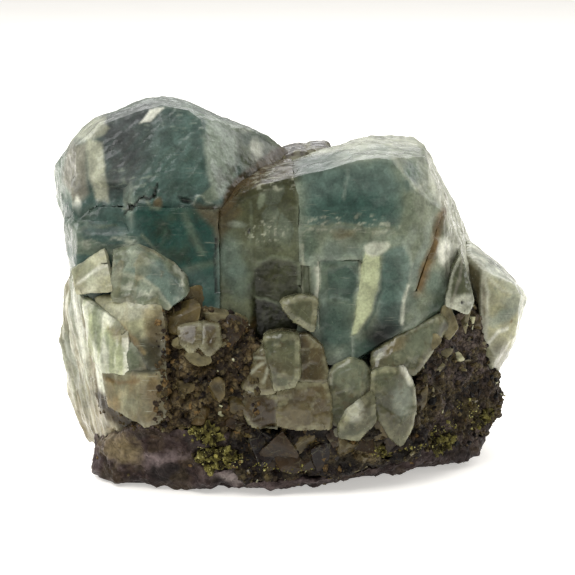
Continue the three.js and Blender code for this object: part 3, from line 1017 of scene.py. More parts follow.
@dataclass
class LumpField:
    """Small faceted quartz crystals, each seated on what lies behind it, as one piece."""

    name: str
    lumps: tuple[Lump, ...]
    slot: str = "quartz_smoky"
    seed: int = 9
    fineness: int = 4

    def add(self, work: bmesh.types.BMesh, lump: Lump, depth: float, random: np.random.Generator
            ) -> list[Array]:
        """Adds one crystal to a mesh in progress.

        Args:
            work: the mesh in progress.
            lump: the crystal.
            depth: where the surface behind it lies, in millimetres.
            random: the draws.
        Returns:
            The tint of each of its vertices.
        """
        made = bmesh.ops.create_icosphere(work, subdivisions=self.fineness, radius=1.0)
        thick = 0.7 * min(lump.wide, lump.high) + 0.15 * max(lump.wide, lump.high)
        lean = Matrix.Rotation(math.radians(-lump.lean), 3, "Y")
        ways = [Vector(random.normal(size=3)).normalized() for _ in range(lump.facets)]
        ways[0] = Vector((0.15, -1.0, 0.2)).normalized()
        cuts = [random.uniform(0.36, 0.62) for _ in ways]
        rows = np.array([vert.co for vert in made["verts"]])
        for way, cut in zip(ways, cuts):
            over = rows @ np.array(way) - cut
            rows -= np.outer(np.maximum(over, 0.0) * 0.94, np.array(way))
        rim = smooth_step(0.6, 0.8, np.linalg.norm(rows, axis=1))
        veil = layered_noise(rows * 3.0 + lump.x, 1.6, self.seed + int(abs(lump.x * 7)), 4)
        rows *= 1.0 + 0.05 * veil[:, None]
        middle = Vector((lump.x, depth + thick * (1.0 - 2.0 * lump.proud), lump.z))
        for vert, row in zip(made["verts"], rows):
            local = lean @ Vector((row[0] * lump.wide, row[1] * thick, row[2] * lump.high))
            vert.co = (middle + local * 1.6) * MM
        # the rounded rims are made paler: a painted rim highlight; the veil noise varies the tone
        light = np.clip(0.85 + 0.6 * veil + 0.3 * rim, 0.25, 2.0)
        return list(lump.tone.linear() * light[:, None])

    def build(self, hosts: Sequence[bpy.types.Object], material: bpy.types.Material) -> bpy.types.Object:
        """Seats the crystals on their hosts as one piece.

        Args:
            hosts: the pieces behind them.
            material: their finish.
        Returns:
            The finished piece.
        """
        random = np.random.default_rng(self.seed)
        trees = []
        for host in hosts:
            work = bmesh.new()
            work.from_mesh(host.data)
            trees.append(BVHTree.FromBMesh(work))
            work.free()
        whole = bmesh.new()
        tints: list[Array] = []
        for lump in self.lumps:
            start = Vector((lump.x * MM, -0.2, lump.z * MM))
            hits = [tree.ray_cast(start, Vector((0.0, 1.0, 0.0)))[0] for tree in trees]
            depths = [hit.y / MM for hit in hits if hit is not None]
            tints += self.add(whole, lump, min(depths, default=0.0), random)
        mesh = bpy.data.meshes.new(self.name)
        for vert in whole.verts:
            vert.co.y = max(vert.co.y, -0.0335)
            vert.co.z = max(vert.co.z, 0.0003)
        whole.to_mesh(mesh)
        whole.free()
        store_tint(mesh, np.array(tints))
        mesh.shade_smooth()
        mesh.set_sharp_from_angle(angle=math.radians(14.0))
        return present(mesh, self.name, material)


# ---------------------------------------------------------------- the studio


@dataclass
class Studio:
    """A plain pale floor, soft light and the camera."""

    target: tuple[float, float, float] = (-0.0008, 0.0, 0.0429)
    elevation: float = 12.0
    distance: float = 0.56
    lens: float = 148.2
    lights: tuple[tuple[str, float, float, float, float, float], ...] = (
        ("key", -50.0, 48.0, 0.9, 0.6, 4.0),
        ("top", 10.0, 82.0, 0.9, 0.9, 3.0),
        ("rim_left", -120.0, 30.0, 0.8, 0.6, 3.0),
        ("rim_right", 112.0, 32.0, 0.8, 0.6, 2.5),
        ("back", 180.0, 40.0, 0.9, 0.8, 2.5),
    )

    def build(self) -> None:
        """Sets up the camera, lights, floor and surroundings."""
        self.place_camera()
        for name, azimuth, elevation, distance, size, power in self.lights:
            self.place_light(name, azimuth, elevation, distance, size, power)
        self.lay_floor()
        self.light_surroundings()
        bpy.context.scene.view_settings.view_transform = "Standard"

    def aim(self, thing: bpy.types.Object, azimuth: float, elevation: float, distance: float) -> None:
        """Puts something round the specimen, looking at it.

        Args:
            thing: the camera or light.
            azimuth: degrees to the right of the front.
            elevation: degrees above the horizon.
            distance: metres from the middle.
        """
        side, rise = math.radians(azimuth), math.radians(elevation)
        away = Vector((math.sin(side) * math.cos(rise), -math.cos(side) * math.cos(rise), math.sin(rise)))
        thing.location = Vector(self.target) + away * distance
        thing.rotation_euler = away.to_track_quat("Z", "Y").to_euler()
        bpy.context.scene.collection.objects.link(thing)

    def place_camera(self) -> None:
        """Makes the camera."""
        camera = bpy.data.cameras.new("camera")
        camera.lens = self.lens
        camera.sensor_width = 36.0
        camera.clip_start = 0.01
        camera.clip_end = 20.0
        holder = bpy.data.objects.new("camera", camera)
        self.aim(holder, 0.0, self.elevation, self.distance)
        bpy.context.scene.camera = holder

    def place_light(self, name: str, azimuth: float, elevation: float, distance: float, size: float,
                    power: float) -> None:
        """Makes one soft light.

        Args:
            name: its name.
            azimuth: degrees to the right of the front.
            elevation: degrees above the horizon.
            distance: metres from the middle.
            size: its side in metres.
            power: its watts.
        """
        light = bpy.data.lights.new(name, "AREA")
        light.shape = "DISK"
        light.size = size
        light.energy = power
        self.aim(bpy.data.objects.new(name, light), azimuth, elevation, distance)

    def lay_floor(self) -> None:
        """Makes the floor."""
        work = bmesh.new()
        bmesh.ops.create_grid(work, x_segments=1, y_segments=1, size=4.0)
        mesh = bpy.data.meshes.new("floor")
        work.to_mesh(mesh)
        work.free()
        nodes = Nodes("floor_paper")
        paper = nodes.remap(nodes.noise(30.0), 0.3, 0.7, 0.97, 1.0)
        nodes.link(nodes.shade(nodes.tint(), paper), "Base Color")
        nodes.fix(Roughness=0.9, Specular_IOR_Level=0.1, Emission_Strength=0.45)
        nodes.shader.inputs["Emission Color"].default_value = (1.0, 0.985, 0.95, 1.0)
        store_tint(mesh, np.tile(np.array((0.93, 0.905, 0.86)), (len(mesh.vertices), 1)))
        mesh.materials.append(nodes.material)
        floor = bpy.data.objects.new("floor", mesh)
        bpy.context.scene.collection.objects.link(floor)

    def light_surroundings(self) -> None:
        """Makes the white surroundings."""
        world = bpy.data.worlds.new("studio")
        world.use_nodes = True
        tree = world.node_tree
        shown = tree.nodes["Background"]
        shown.inputs["Color"].default_value = (1.0, 1.0, 1.0, 1.0)
        shown.inputs["Strength"].default_value = 1.1
        lit = tree.nodes.new("ShaderNodeBackground")
        lit.inputs["Color"].default_value = (1.0, 1.0, 0.99, 1.0)
        lit.inputs["Strength"].default_value = 0.42
        choice = tree.nodes.new("ShaderNodeMixShader")
        path = tree.nodes.new("ShaderNodeLightPath")
        tree.links.new(path.outputs["Is Camera Ray"], choice.inputs["Fac"])
        tree.links.new(lit.outputs[0], choice.inputs[1])
        tree.links.new(shown.outputs[0], choice.inputs[2])
        tree.links.new(choice.outputs[0], tree.nodes["World Output"].inputs["Surface"])
        bpy.context.scene.world = world


# ---------------------------------------------------------------- the specimen


@dataclass
class GreenCrystals:
    """The three large green crystals."""

    cell: float = 0.385
    finish: FluoriteFinish = FluoriteFinish("green_fluorite")
    left_fills: tuple[Fill, ...] = (
        Fill(-18.0, 0.337, -0.065, ((-53.0, 59.5), (-37.0, 59.5), (-37.0, 69.5), (-53.0, 69.5)), 4.0, 1.5),
    )
    centre_fills: tuple[Fill, ...] = (
        Fill(-18.2, 0.06, -0.03, ((-9.0, 53.2), (2.5, 53.2), (2.5, 33.0), (-9.0, 33.0)), 5.0, 1.0),
    )
    right_fills: tuple[Fill, ...] = (
        Fill(-18.4, 0.19, -0.02, ((6.0, 53.4), (15.8, 53.4), (15.0, 33.0), (6.0, 33.0)), 3.5, 0.7),
        Fill(-18.7, 0.19, -0.02, ((15.5, 58.8), (24.5, 58.8), (24.5, 53.0), (16.0, 53.0)), 4.0, 0.6),
    )

    def left_marks(self) -> tuple[Mark, ...]:
        """The left crystal's layers, from the ground up."""
        return (
            Cloud(Tone.SEA, 0.5, size=9.0, share=0.4),
            Shards(Tone.TEAL, 0.4, 0.1, size=8.0, share=0.4, stretch=1.8, turn=40.0),
            # pale edges: wear and a painted rim highlight
            EdgeWearAndHighlight(Tone.MIST, 0.4, -0.06, patchy=0.7),
            # painted light: the left-facing flank and the upward-facing facets made paler where the light falls on them
            FacingLightShade(Tone.MIST, 0.6, towards=(-1.0, -0.2, 0.2), reach=0.55),
            FacingLightShade(Tone.SAGE, 0.5, towards=(0.3, 0.6, 0.8), reach=0.4),
            Plate(Tone.SLATE, 0.85, outline=((-43.7, 84.0), (-44.9, 80.0), (-43.6, 73.6), (-42.6, 66.0),
                                             (-36.0, 69.0), (-32.0, 75.0), (-27.0, 84.0), (-33.0, 88.0)), soft=3.5),
            Patch(Tone.SEA, 0.55, x=-26.5, z=79.0, wide=8.0, high=5.5),
            Patch(Tone.DEEP_PINE, 0.5, x=-25.0, z=71.5, wide=8.0, high=4.0),
            Cloud(Tone.SEA, 0.25, 0.02, size=0.7, share=0.35, crisp=0.5, stretch=5.0, turn=48.0, octaves=2,
                  within=(-33.0, 74.0, 14.0, 10.0)),
            Cloud(Tone.OLIVE, 0.22, -0.03, size=0.8, share=0.4, crisp=0.4, stretch=4.0, turn=48.0, octaves=2,
                  offset=3, within=(-32.0, 73.0, 13.0, 9.0)),
            Cloud(Tone.MIST, 0.5, size=0.6, share=0.14, stretch=3.0, turn=3.0, octaves=3,
                  within=(-26.0, 82.5, 9.0, 3.0)),
            Cloud(Tone.MIST, 0.45, size=0.7, share=0.12, stretch=3.0, turn=12.0, octaves=3, offset=5,
                  within=(-37.0, 71.0, 6.0, 3.0)),
            Plate(Tone.MIST, 0.85, outline=((-19.8, 84.5), (-14.5, 84.0), (-12.5, 77.0), (-13.0, 71.0), (-15.0, 67.5),
                                           (-17.4, 66.0), (-18.6, 70.0), (-20.0, 77.0)), soft=0.8),
            Plate(Tone.MOSS, 0.8, outline=((-14.0, 84.0), (-4.0, 78.5), (-1.5, 75.5), (-6.0, 72.0),
                                            (-11.5, 70.5), (-13.0, 76.0)), soft=1.4),
            Patch(Tone.DEEP_PINE, 0.45, x=-9.0, z=78.5, wide=3.6, high=2.4, turn=-30.0),
            Patch(Tone.BONE, 0.85, x=-8.3, z=75.0, wide=1.6, high=2.2),
            Patch(Tone.BONE, 0.6, x=-9.8, z=80.6, wide=1.6, high=1.6),
            Plate(Tone.UMBER, 0.95, outline=((0.0, 75.0), (-3.0, 75.4), (-8.5, 72.9), (-13.2, 70.4), (-15.6, 67.0),
                                             (-17.0, 62.0), (-12.0, 60.0), (-10.0, 66.0), (0.0, 71.0)), soft=0.6),
            Cloud(Tone.OLIVE, 0.6, size=2.0, share=0.45, within=(-9.0, 70.5, 9.0, 3.6)),
            Plate(Tone.TAUPE, 0.85, outline=((-52.0, 77.0), (-46.4, 78.8), (-46.9, 73.4), (-46.4, 67.0),
                                             (-49.0, 64.5), (-53.0, 68.0)), soft=0.9),
            Plate(Tone.CREAM, 0.9, outline=((-51.5, 77.2), (-48.5, 80.4), (-44.4, 84.4), (-41.6, 81.6),
                                            (-43.0, 80.3), (-46.8, 79.2)), soft=0.5),
            Plate(Tone.CREAM, 0.9, outline=((-46.8, 79.6), (-43.6, 78.8), (-42.6, 73.0), (-42.0, 65.0),
                                            (-44.6, 64.8), (-46.4, 72.0)), soft=0.5),
            Plate(Tone.FROST, 0.75, 0.12, outline=((-34.7, 82.7), (-32.4, 85.9), (-29.2, 86.2), (-31.0, 84.4),
                                                   (-32.5, 83.0)), soft=0.3),
            Patch(Tone.FROST, 0.9, x=-49.1, z=64.4, wide=0.9, high=1.8),
            Patch(Tone.RUST, 0.6, x=-46.4, z=62.6, wide=1.9, high=1.5),
            Plate(Tone.PINE, 0.85, 0.35, outline=((-53.0, 64.0), (-47.0, 65.0), (-42.0, 65.0), (-37.0, 63.0), (-34.6, 59.5),
                                           (-33.5, 55.0), (-36.0, 51.0), (-53.0, 51.0)), soft=1.4),
            Cloud(Tone.DEEP_PINE, 0.35, size=4.0, share=0.35, within=(-43.0, 59.0, 9.0, 5.0)),
            Cloud(Tone.SAGE, 0.5, size=3.0, share=0.4, stretch=3.0, turn=6.0, offset=9,
                  within=(-44.0, 57.0, 9.0, 5.0)),
            Cloud(Tone.BONE, 0.45, 0.05, size=0.9, share=0.22, stretch=4.0, turn=4.0, octaves=3,
                  within=(-41.5, 56.5, 6.0, 2.6)),
            Plate(Tone.TEAL, 0.94, outline=((-36.0, 64.5), (-31.0, 65.5), (-22.0, 65.0), (-17.4, 61.0), (-16.8, 43.0),
                                            (-26.0, 43.0), (-28.0, 53.5), (-33.5, 58.5)), soft=1.1),
            Cloud(Tone.OLIVE, 0.4, size=5.0, share=0.35, within=(-25.0, 58.0, 8.0, 7.0)),
            Patch(Tone.SEA, 0.35, x=-21.5, z=48.0, wide=4.5, high=3.5),
            Vein(Tone.SAGE, 0.55, route=((-34.0, 58.8), (-29.5, 54.0), (-24.8, 49.3)), wide=0.5),
            Vein(Tone.SAGE, 0.35, route=((-24.2, 63.2), (-22.6, 59.5), (-20.5, 54.9)), wide=1.4, soft=1.1),
            Vein(Tone.SAGE, 0.3, route=((-26.0, 50.0), (-20.0, 52.2), (-17.4, 52.6)), wide=1.0, soft=1.0),
            Vein(Tone.PEAT, 0.75, -0.45, route=((-37.8, 62.4), (-36.8, 64.4), (-35.5, 64.7), (-34.8, 66.3),
                                               (-33.4, 66.7), (-32.4, 66.2), (-31.4, 67.3)), wide=0.3, soft=0.35),
            Vein(Tone.PEAT, 0.8, -0.5, route=((-31.3, 66.8), (-30.7, 69.6)), wide=0.35),
            Patch(Tone.SOOT, 0.9, -0.9, x=-36.5, z=64.3, wide=0.8, high=0.55),
            Patch(Tone.SOOT, 0.85, -0.8, x=-24.0, z=66.4, wide=1.3, high=0.6, turn=-12.0),
            Vein(Tone.SAGE, 0.7, 0.1, route=((-33.0, 65.8), (-31.8, 64.6), (-30.0, 64.4)), wide=0.6),
            Patch(Tone.RUST, 0.6, x=-30.3, z=65.7, wide=0.9, high=1.0),
            Vein(Tone.MIST, 0.75, 0.12, route=((-22.0, 65.4), (-21.6, 66.9), (-20.2, 66.9), (-19.4, 65.9),
                                              (-18.0, 65.3)), wide=0.35, soft=0.25),
            Plate(Tone.SAGE, 0.6, outline=((-21.0, 67.0), (-17.8, 69.4), (-16.6, 66.4), (-19.0, 65.4)), soft=0.4),
            Plate(Tone.UMBER, 0.75, outline=((-22.5, 65.6), (-18.0, 65.0), (-14.0, 64.6), (-15.6, 61.0),
                                             (-16.6, 56.5), (-18.0, 60.5)), soft=1.0),
            Vein(Tone.PEAT, 0.8, -0.3, route=((-17.2, 58.0), (-17.3, 53.0), (-17.2, 46.0)), wide=0.15, soft=0.3),
        )

    def centre_marks(self) -> tuple[Mark, ...]:
        """The centre crystal's layers."""
        return (
            Cloud(Tone.SAGE, 0.45, size=7.0, share=0.4),
            Shards(Tone.OLIVE, 0.4, 0.1, size=5.0, share=0.45, stretch=2.4, turn=86.0),
            Shards(Tone.HAZE, 0.35, size=4.0, share=0.3, stretch=2.2, turn=80.0, offset=3),
            # pale edges: wear and a painted rim highlight
            EdgeWearAndHighlight(Tone.SAGE, 0.4, -0.05, patchy=0.7),
            Band(Tone.MOSS, 0.5, full=46.0, none=60.0),
            Band(Tone.OLIVE, 0.45, full=66.0, none=57.0),
            # painted shade: the upward-facing facets made darker against the light from above
            FacingLightShade(Tone.UMBER, 0.85, towards=(0.0, 0.3, 1.0), reach=0.45),
            Patch(Tone.SEA, 0.5, x=-14.0, z=53.5, wide=3.2, high=5.0),
            Patch(Tone.SEA, 0.4, x=-11.0, z=48.0, wide=3.6, high=4.0),
            Plate(Tone.UMBER, 0.6, outline=((-17.0, 65.0), (-13.0, 66.5), (-11.0, 64.0), (-14.5, 60.0),
                                            (-17.0, 56.0)), soft=1.0),
            Plate(Tone.OLIVE, 0.6, 0.1, outline=((-16.0, 64.0), (-11.7, 68.2), (-5.8, 70.6), (1.4, 72.4), (1.4, 70.4),
                                                 (-5.0, 68.9), (-11.0, 66.4), (-15.0, 62.6)), soft=0.5, ragged=0.8),
            Plate(Tone.UMBER, 0.75, outline=((-17.0, 62.0), (-16.5, 66.0), (-11.5, 70.0), (-5.0, 73.0), (-2.0, 72.4),
                                             (-7.0, 69.8), (-12.0, 67.2), (-14.6, 63.4)), soft=0.7, ragged=0.8),
            Cloud(Tone.CREAM, 0.5, 0.06, size=0.6, share=0.22, stretch=2.0, turn=20.0, octaves=3,
                  within=(-3.5, 70.4, 7.0, 1.5)),
            Plate(Tone.SAGE, 0.8, outline=((-7.0, 68.2), (-5.7, 68.3), (-6.3, 65.4), (-7.4, 64.6),
                                           (-7.8, 66.0)), soft=0.3),
            Cloud(Tone.CREAM, 0.6, size=0.6, share=0.12, octaves=3, within=(-5.5, 59.5, 4.5, 3.0)),
            Patch(Tone.PEAT, 0.8, -0.3, x=-9.4, z=59.6, wide=0.3, high=0.5),
            Patch(Tone.MIST, 0.4, x=-12.6, z=61.0, wide=2.2, high=0.8),
            Vein(Tone.SAGE, 0.35, route=((-9.2, 66.0), (-9.0, 56.0), (-8.7, 45.0)), wide=0.4),
            Plate(Tone.MOSS, 0.7, outline=((-9.5, 57.0), (2.0, 57.0), (2.0, 34.0), (-9.5, 34.0)), soft=1.6),
            Plate(Tone.GLOOM, 0.8, outline=((-8.6, 51.4), (-6.0, 53.1), (-0.8, 52.9), (1.6, 51.4), (1.8, 43.0),
                                                  (-3.4, 43.0), (-8.6, 44.4)), soft=0.9, ragged=0.9),
            Plate(Tone.GLOOM, 0.95, outline=((-8.8, 44.6), (-3.4, 43.6), (1.8, 42.0), (1.8, 33.0),
                                                 (-9.0, 33.0)), soft=0.6, ragged=0.9),
            Patch(Tone.OLIVE, 0.5, x=-4.0, z=48.4, wide=3.4, high=2.6),
            Cloud(Tone.MOSS, 0.45, size=2.4, share=0.35, stretch=2.4, turn=70.0, within=(-3.4, 46.0, 5.0, 8.0)),
            Vein(Tone.SAGE, 0.5, 0.1, route=((-8.6, 51.4), (-7.0, 53.2), (-4.2, 53.9), (-1.0, 53.5), (1.3, 51.9)),
                 wide=0.6, ragged=0.7),
            Vein(Tone.SAGE, 0.6, 0.1, route=((-8.3, 44.9), (-6.2, 44.5), (-3.4, 43.4)), wide=0.4, ragged=0.7),
            Vein(Tone.SAGE, 0.5, route=((-3.4, 43.4), (-1.2, 42.0), (0.6, 39.8)), wide=0.4, ragged=0.7),
            Vein(Tone.SAGE, 0.5, route=((1.3, 71.4), (1.6, 62.4), (1.8, 54.0), (1.9, 42.0)), wide=0.3, ragged=0.5),
            Cloud(Tone.RUST, 0.5, size=3.0, share=0.4, within=(-12.5, 37.0, 5.0, 3.5)),
        )

    def right_marks(self) -> tuple[Mark, ...]:
        """The right crystal's layers."""
        return (
            Cloud(Tone.HAZE, 0.45, size=7.0, share=0.45),
            Shards(Tone.DEEP_PINE, 0.45, 0.12, size=5.0, share=0.45, stretch=2.4, turn=86.0),
            Shards(Tone.MIST, 0.35, size=4.0, share=0.25, stretch=2.2, turn=78.0, offset=3),
            # pale edges: wear and a painted rim highlight
            EdgeWearAndHighlight(Tone.MIST, 0.4, -0.05, patchy=0.6),
            # painted light: the top and the right-facing facets made paler where the light falls on them
            FacingLightShade(Tone.CREAM, 0.85, towards=(0.0, 0.25, 1.0), reach=0.45),
            FacingLightShade(Tone.BONE, 0.85, towards=(1.0, -0.1, 0.2), reach=0.62),
            Patch(Tone.OLIVE, 0.9, x=2.5, z=72.8, wide=9.0, high=2.0, turn=14.0, ragged=1.2),
            Plate(Tone.SEA, 0.8, outline=((2.3, 72.6), (8.0, 74.4), (22.8, 76.2), (25.2, 70.0), (24.2, 60.8),
                                          (12.0, 60.2), (3.2, 60.4)), soft=2.4),
            Patch(Tone.PINE, 0.6, x=13.0, z=69.5, wide=9.0, high=3.6),
            Patch(Tone.TEAL, 0.75, x=14.0, z=64.5, wide=11.0, high=3.6),
            Vein(Tone.HAZE, 0.6, route=((13.6, 74.8), (13.1, 71.5), (11.9, 67.0)), wide=0.7, ragged=0.9),
            Cloud(Tone.CREAM, 0.6, size=0.9, share=0.16, crisp=0.15, stretch=1.4, turn=20.0, octaves=5,
                  within=(13.0, 60.8, 12.0, 2.6)),
            Vein(Tone.SAGE, 0.75, 0.1, route=((3.6, 60.8), (8.0, 60.2), (13.0, 60.8), (19.0, 60.2), (22.6, 60.2)),
                 wide=0.5, ragged=0.9),
            Vein(Tone.SAGE, 0.6, 0.1, route=((17.5, 59.6), (23.0, 60.6)), wide=0.5, ragged=0.8),
            Patch(Tone.SAGE, 0.6, x=8.5, z=57.2, wide=5.5, high=2.6),
            Patch(Tone.MOSS, 0.55, x=16.0, z=58.6, wide=4.6, high=1.7),
            Patch(Tone.RUST, 0.35, x=12.0, z=59.0, wide=2.4, high=1.2),
            Patch(Tone.TEAL, 0.4, x=4.2, z=57.0, wide=1.7, high=2.8),
            Patch(Tone.HAZE, 0.65, x=9.2, z=55.2, wide=2.6, high=2.6),
            Plate(Tone.HAZE, 0.5, outline=((13.0, 56.4), (16.4, 55.4), (15.4, 53.6), (12.4, 54.4)), soft=0.3),
            Plate(Tone.DEEP_PINE, 0.55, outline=((6.6, 53.0), (15.4, 53.0), (14.6, 44.0), (13.4, 34.5),
                                                      (7.0, 34.5)), soft=0.5, ragged=0.7),
            Plate(Tone.DEEP_PINE, 0.6, -0.3, outline=((8.0, 50.6), (12.6, 52.0), (15.0, 50.0), (14.2, 43.4),
                                                     (8.6, 44.4)), soft=0.35, ragged=0.9),
            Patch(Tone.HAZE, 0.45, 0.25, x=7.4, z=42.0, wide=0.9, high=4.6),
            Patch(Tone.DEEP_PINE, 0.6, x=9.6, z=38.0, wide=3.4, high=4.6),
            Patch(Tone.MIST, 0.5, x=11.6, z=31.4, wide=1.7, high=1.5),
            Vein(Tone.HAZE, 0.5, route=((9.2, 45.0), (13.2, 44.0)), wide=0.3),
            Plate(Tone.MOSS, 0.75, outline=((2.0, 53.0), (4.8, 51.6), (5.2, 40.0), (2.4, 40.0)), soft=0.4),
            Vein(Tone.BONE, 0.7, 0.1, route=((5.6, 51.4), (6.3, 48.4), (5.7, 45.0)), wide=0.9, ragged=0.6),
            Vein(Tone.CREAM, 0.6, 0.1, route=((2.4, 56.5), (2.9, 52.0), (2.7, 47.0), (3.0, 41.0)), wide=0.3, ragged=0.6),
            Plate(Tone.BUTTER, 0.94, 0.6, outline=((17.0, 55.0), (15.7, 51.6), (15.2, 46.4), (14.7, 40.4),
                                                   (13.6, 36.2), (15.4, 36.8), (18.4, 42.0), (19.7, 46.4),
                                                   (20.5, 51.0), (20.2, 54.2)), soft=0.3, ragged=0.15),
            Patch(Tone.HAZE, 0.6, x=20.8, z=45.2, wide=1.5, high=8.0, turn=-5.0, soft=0.7),
            # painted shadow along the blade's right side, over a shallow groove
            Vein(Tone.DEEP_PINE, 0.6, -0.2, route=((21.0, 51.0), (20.6, 47.0), (19.4, 42.6), (17.0, 37.6)),
                 wide=0.4, soft=0.4),
            Plate(Tone.BONE, 0.65, 0.15, outline=((16.8, 56.2), (18.8, 57.4), (22.4, 57.3), (22.8, 56.2), (20.8, 54.9),
                                                (18.4, 53.9), (17.0, 54.8)), soft=0.35),
            Plate(Tone.SEA, 0.75, outline=((20.9, 54.8), (23.0, 55.8), (26.8, 56.8), (27.3, 51.5), (26.0, 46.0),
                                           (24.9, 38.0), (22.0, 35.0), (19.8, 40.0), (20.9, 47.0)), soft=0.6),
            Patch(Tone.DEEP_PINE, 0.6, x=22.2, z=47.5, wide=2.2, high=6.5),
            # painted shadow below and to the right of the blade
            Patch(Tone.SOOT, 0.95, x=20.4, z=36.0, wide=3.4, high=6.4, turn=-38.0, soft=0.8),
            Patch(Tone.TEAL, 0.5, x=16.0, z=32.5, wide=4.0, high=3.0, turn=-20.0),
            Vein(Tone.MIST, 0.75, 0.1, route=((25.6, 57.2), (27.0, 54.8), (27.4, 51.4), (26.4, 47.6)), wide=0.35),
            Vein(Tone.BONE, 0.7, 0.15, route=((26.4, 47.6), (25.6, 44.0), (25.2, 39.0)), wide=0.5),
            Vein(Tone.MIST, 0.5, -0.2, route=((13.8, 37.0), (14.1, 31.0)), wide=0.3),
            Plate(Tone.SAGE, 0.75, outline=((24.8, 61.0), (26.0, 68.0), (31.0, 70.0), (34.6, 62.0), (38.5, 52.0),
                                            (38.9, 46.0), (30.5, 38.0), (26.5, 46.0), (27.8, 52.0),
                                            (26.3, 57.5)), soft=0.8),
            Patch(Tone.SEA, 0.7, x=29.4, z=50.0, wide=1.9, high=6.0, turn=-16.0),
            Patch(Tone.DEEP_PINE, 0.65, x=34.0, z=41.0, wide=3.4, high=2.6),
            Patch(Tone.SEA, 0.5, x=33.8, z=47.0, wide=2.6, high=3.0),
            Cloud(Tone.MIST, 0.45, size=3.0, share=0.35, stretch=2.4, turn=65.0, within=(30.0, 60.0, 5.0, 9.0)),
            Vein(Tone.MIST, 0.5, route=((33.4, 64.0), (31.3, 58.6), (29.4, 53.1), (27.8, 48.0)), wide=1.6, soft=0.9),
            Vein(Tone.SAND, 0.55, route=((34.6, 63.0), (33.4, 58.8), (32.0, 54.0), (30.8, 50.0), (28.8, 45.8)),
                 wide=2.4, soft=1.2, ragged=0.8),
            Vein(Tone.RUST, 0.9, 0.12, route=((34.4, 62.4), (33.4, 58.8), (32.0, 54.0), (31.0, 50.6), (29.2, 46.8)),
                 wide=1.8, soft=0.8, ragged=0.8),
            Patch(Tone.FROST, 0.85, x=35.5, z=53.8, wide=1.9, high=2.8, turn=20.0),
            Patch(Tone.BONE, 0.7, x=37.2, z=49.6, wide=1.6, high=3.0),
            Plate(Tone.SAGE, 0.8, outline=((23.6, 76.5), (25.8, 72.2), (28.3, 69.2), (31.0, 70.2), (31.6, 75.0),
                                            (28.0, 77.0)), soft=0.5),
            Patch(Tone.SEA, 0.6, x=27.3, z=72.0, wide=2.0, high=2.6),
            Vein(Tone.CREAM, 0.25, 0.1, route=((22.9, 75.9), (24.6, 74.4), (26.0, 72.3), (28.7, 69.0)), wide=0.5,
                 ragged=0.8),
            Cloud(Tone.TAUPE, 0.3, -0.16, size=1.3, share=0.4, stretch=7.0, turn=68.0, octaves=3,
                  within=(38.5, 60.0, 5.0, 16.0)),
        )

    def build(self) -> list[bpy.types.Object]:
        """Grows the three crystals."""
        finish = self.finish.build()
        slot = "fluorite_green"
        combed = Relief(swell=0.4, comb=0.06, comb_size=0.7)
        stepped = Relief(swell=0.28, step=0.06, step_size=4.0)
        return [
            Crystal("left_crystal", Tone.PINE, finish, slot, self.left_marks(), combed, self.cell, seed=3,
                    rounds=0, fills=self.left_fills).build(),
            Crystal("centre_crystal", Tone.MOSS, finish, slot, self.centre_marks(), stepped, 0.3, seed=4,
                    rounds=0, fills=self.centre_fills).build(),
            Crystal("right_crystal", Tone.SAGE, finish, slot, self.right_marks(), stepped, self.cell, seed=5,
                    rounds=0, fills=self.right_fills).build(),
        ]


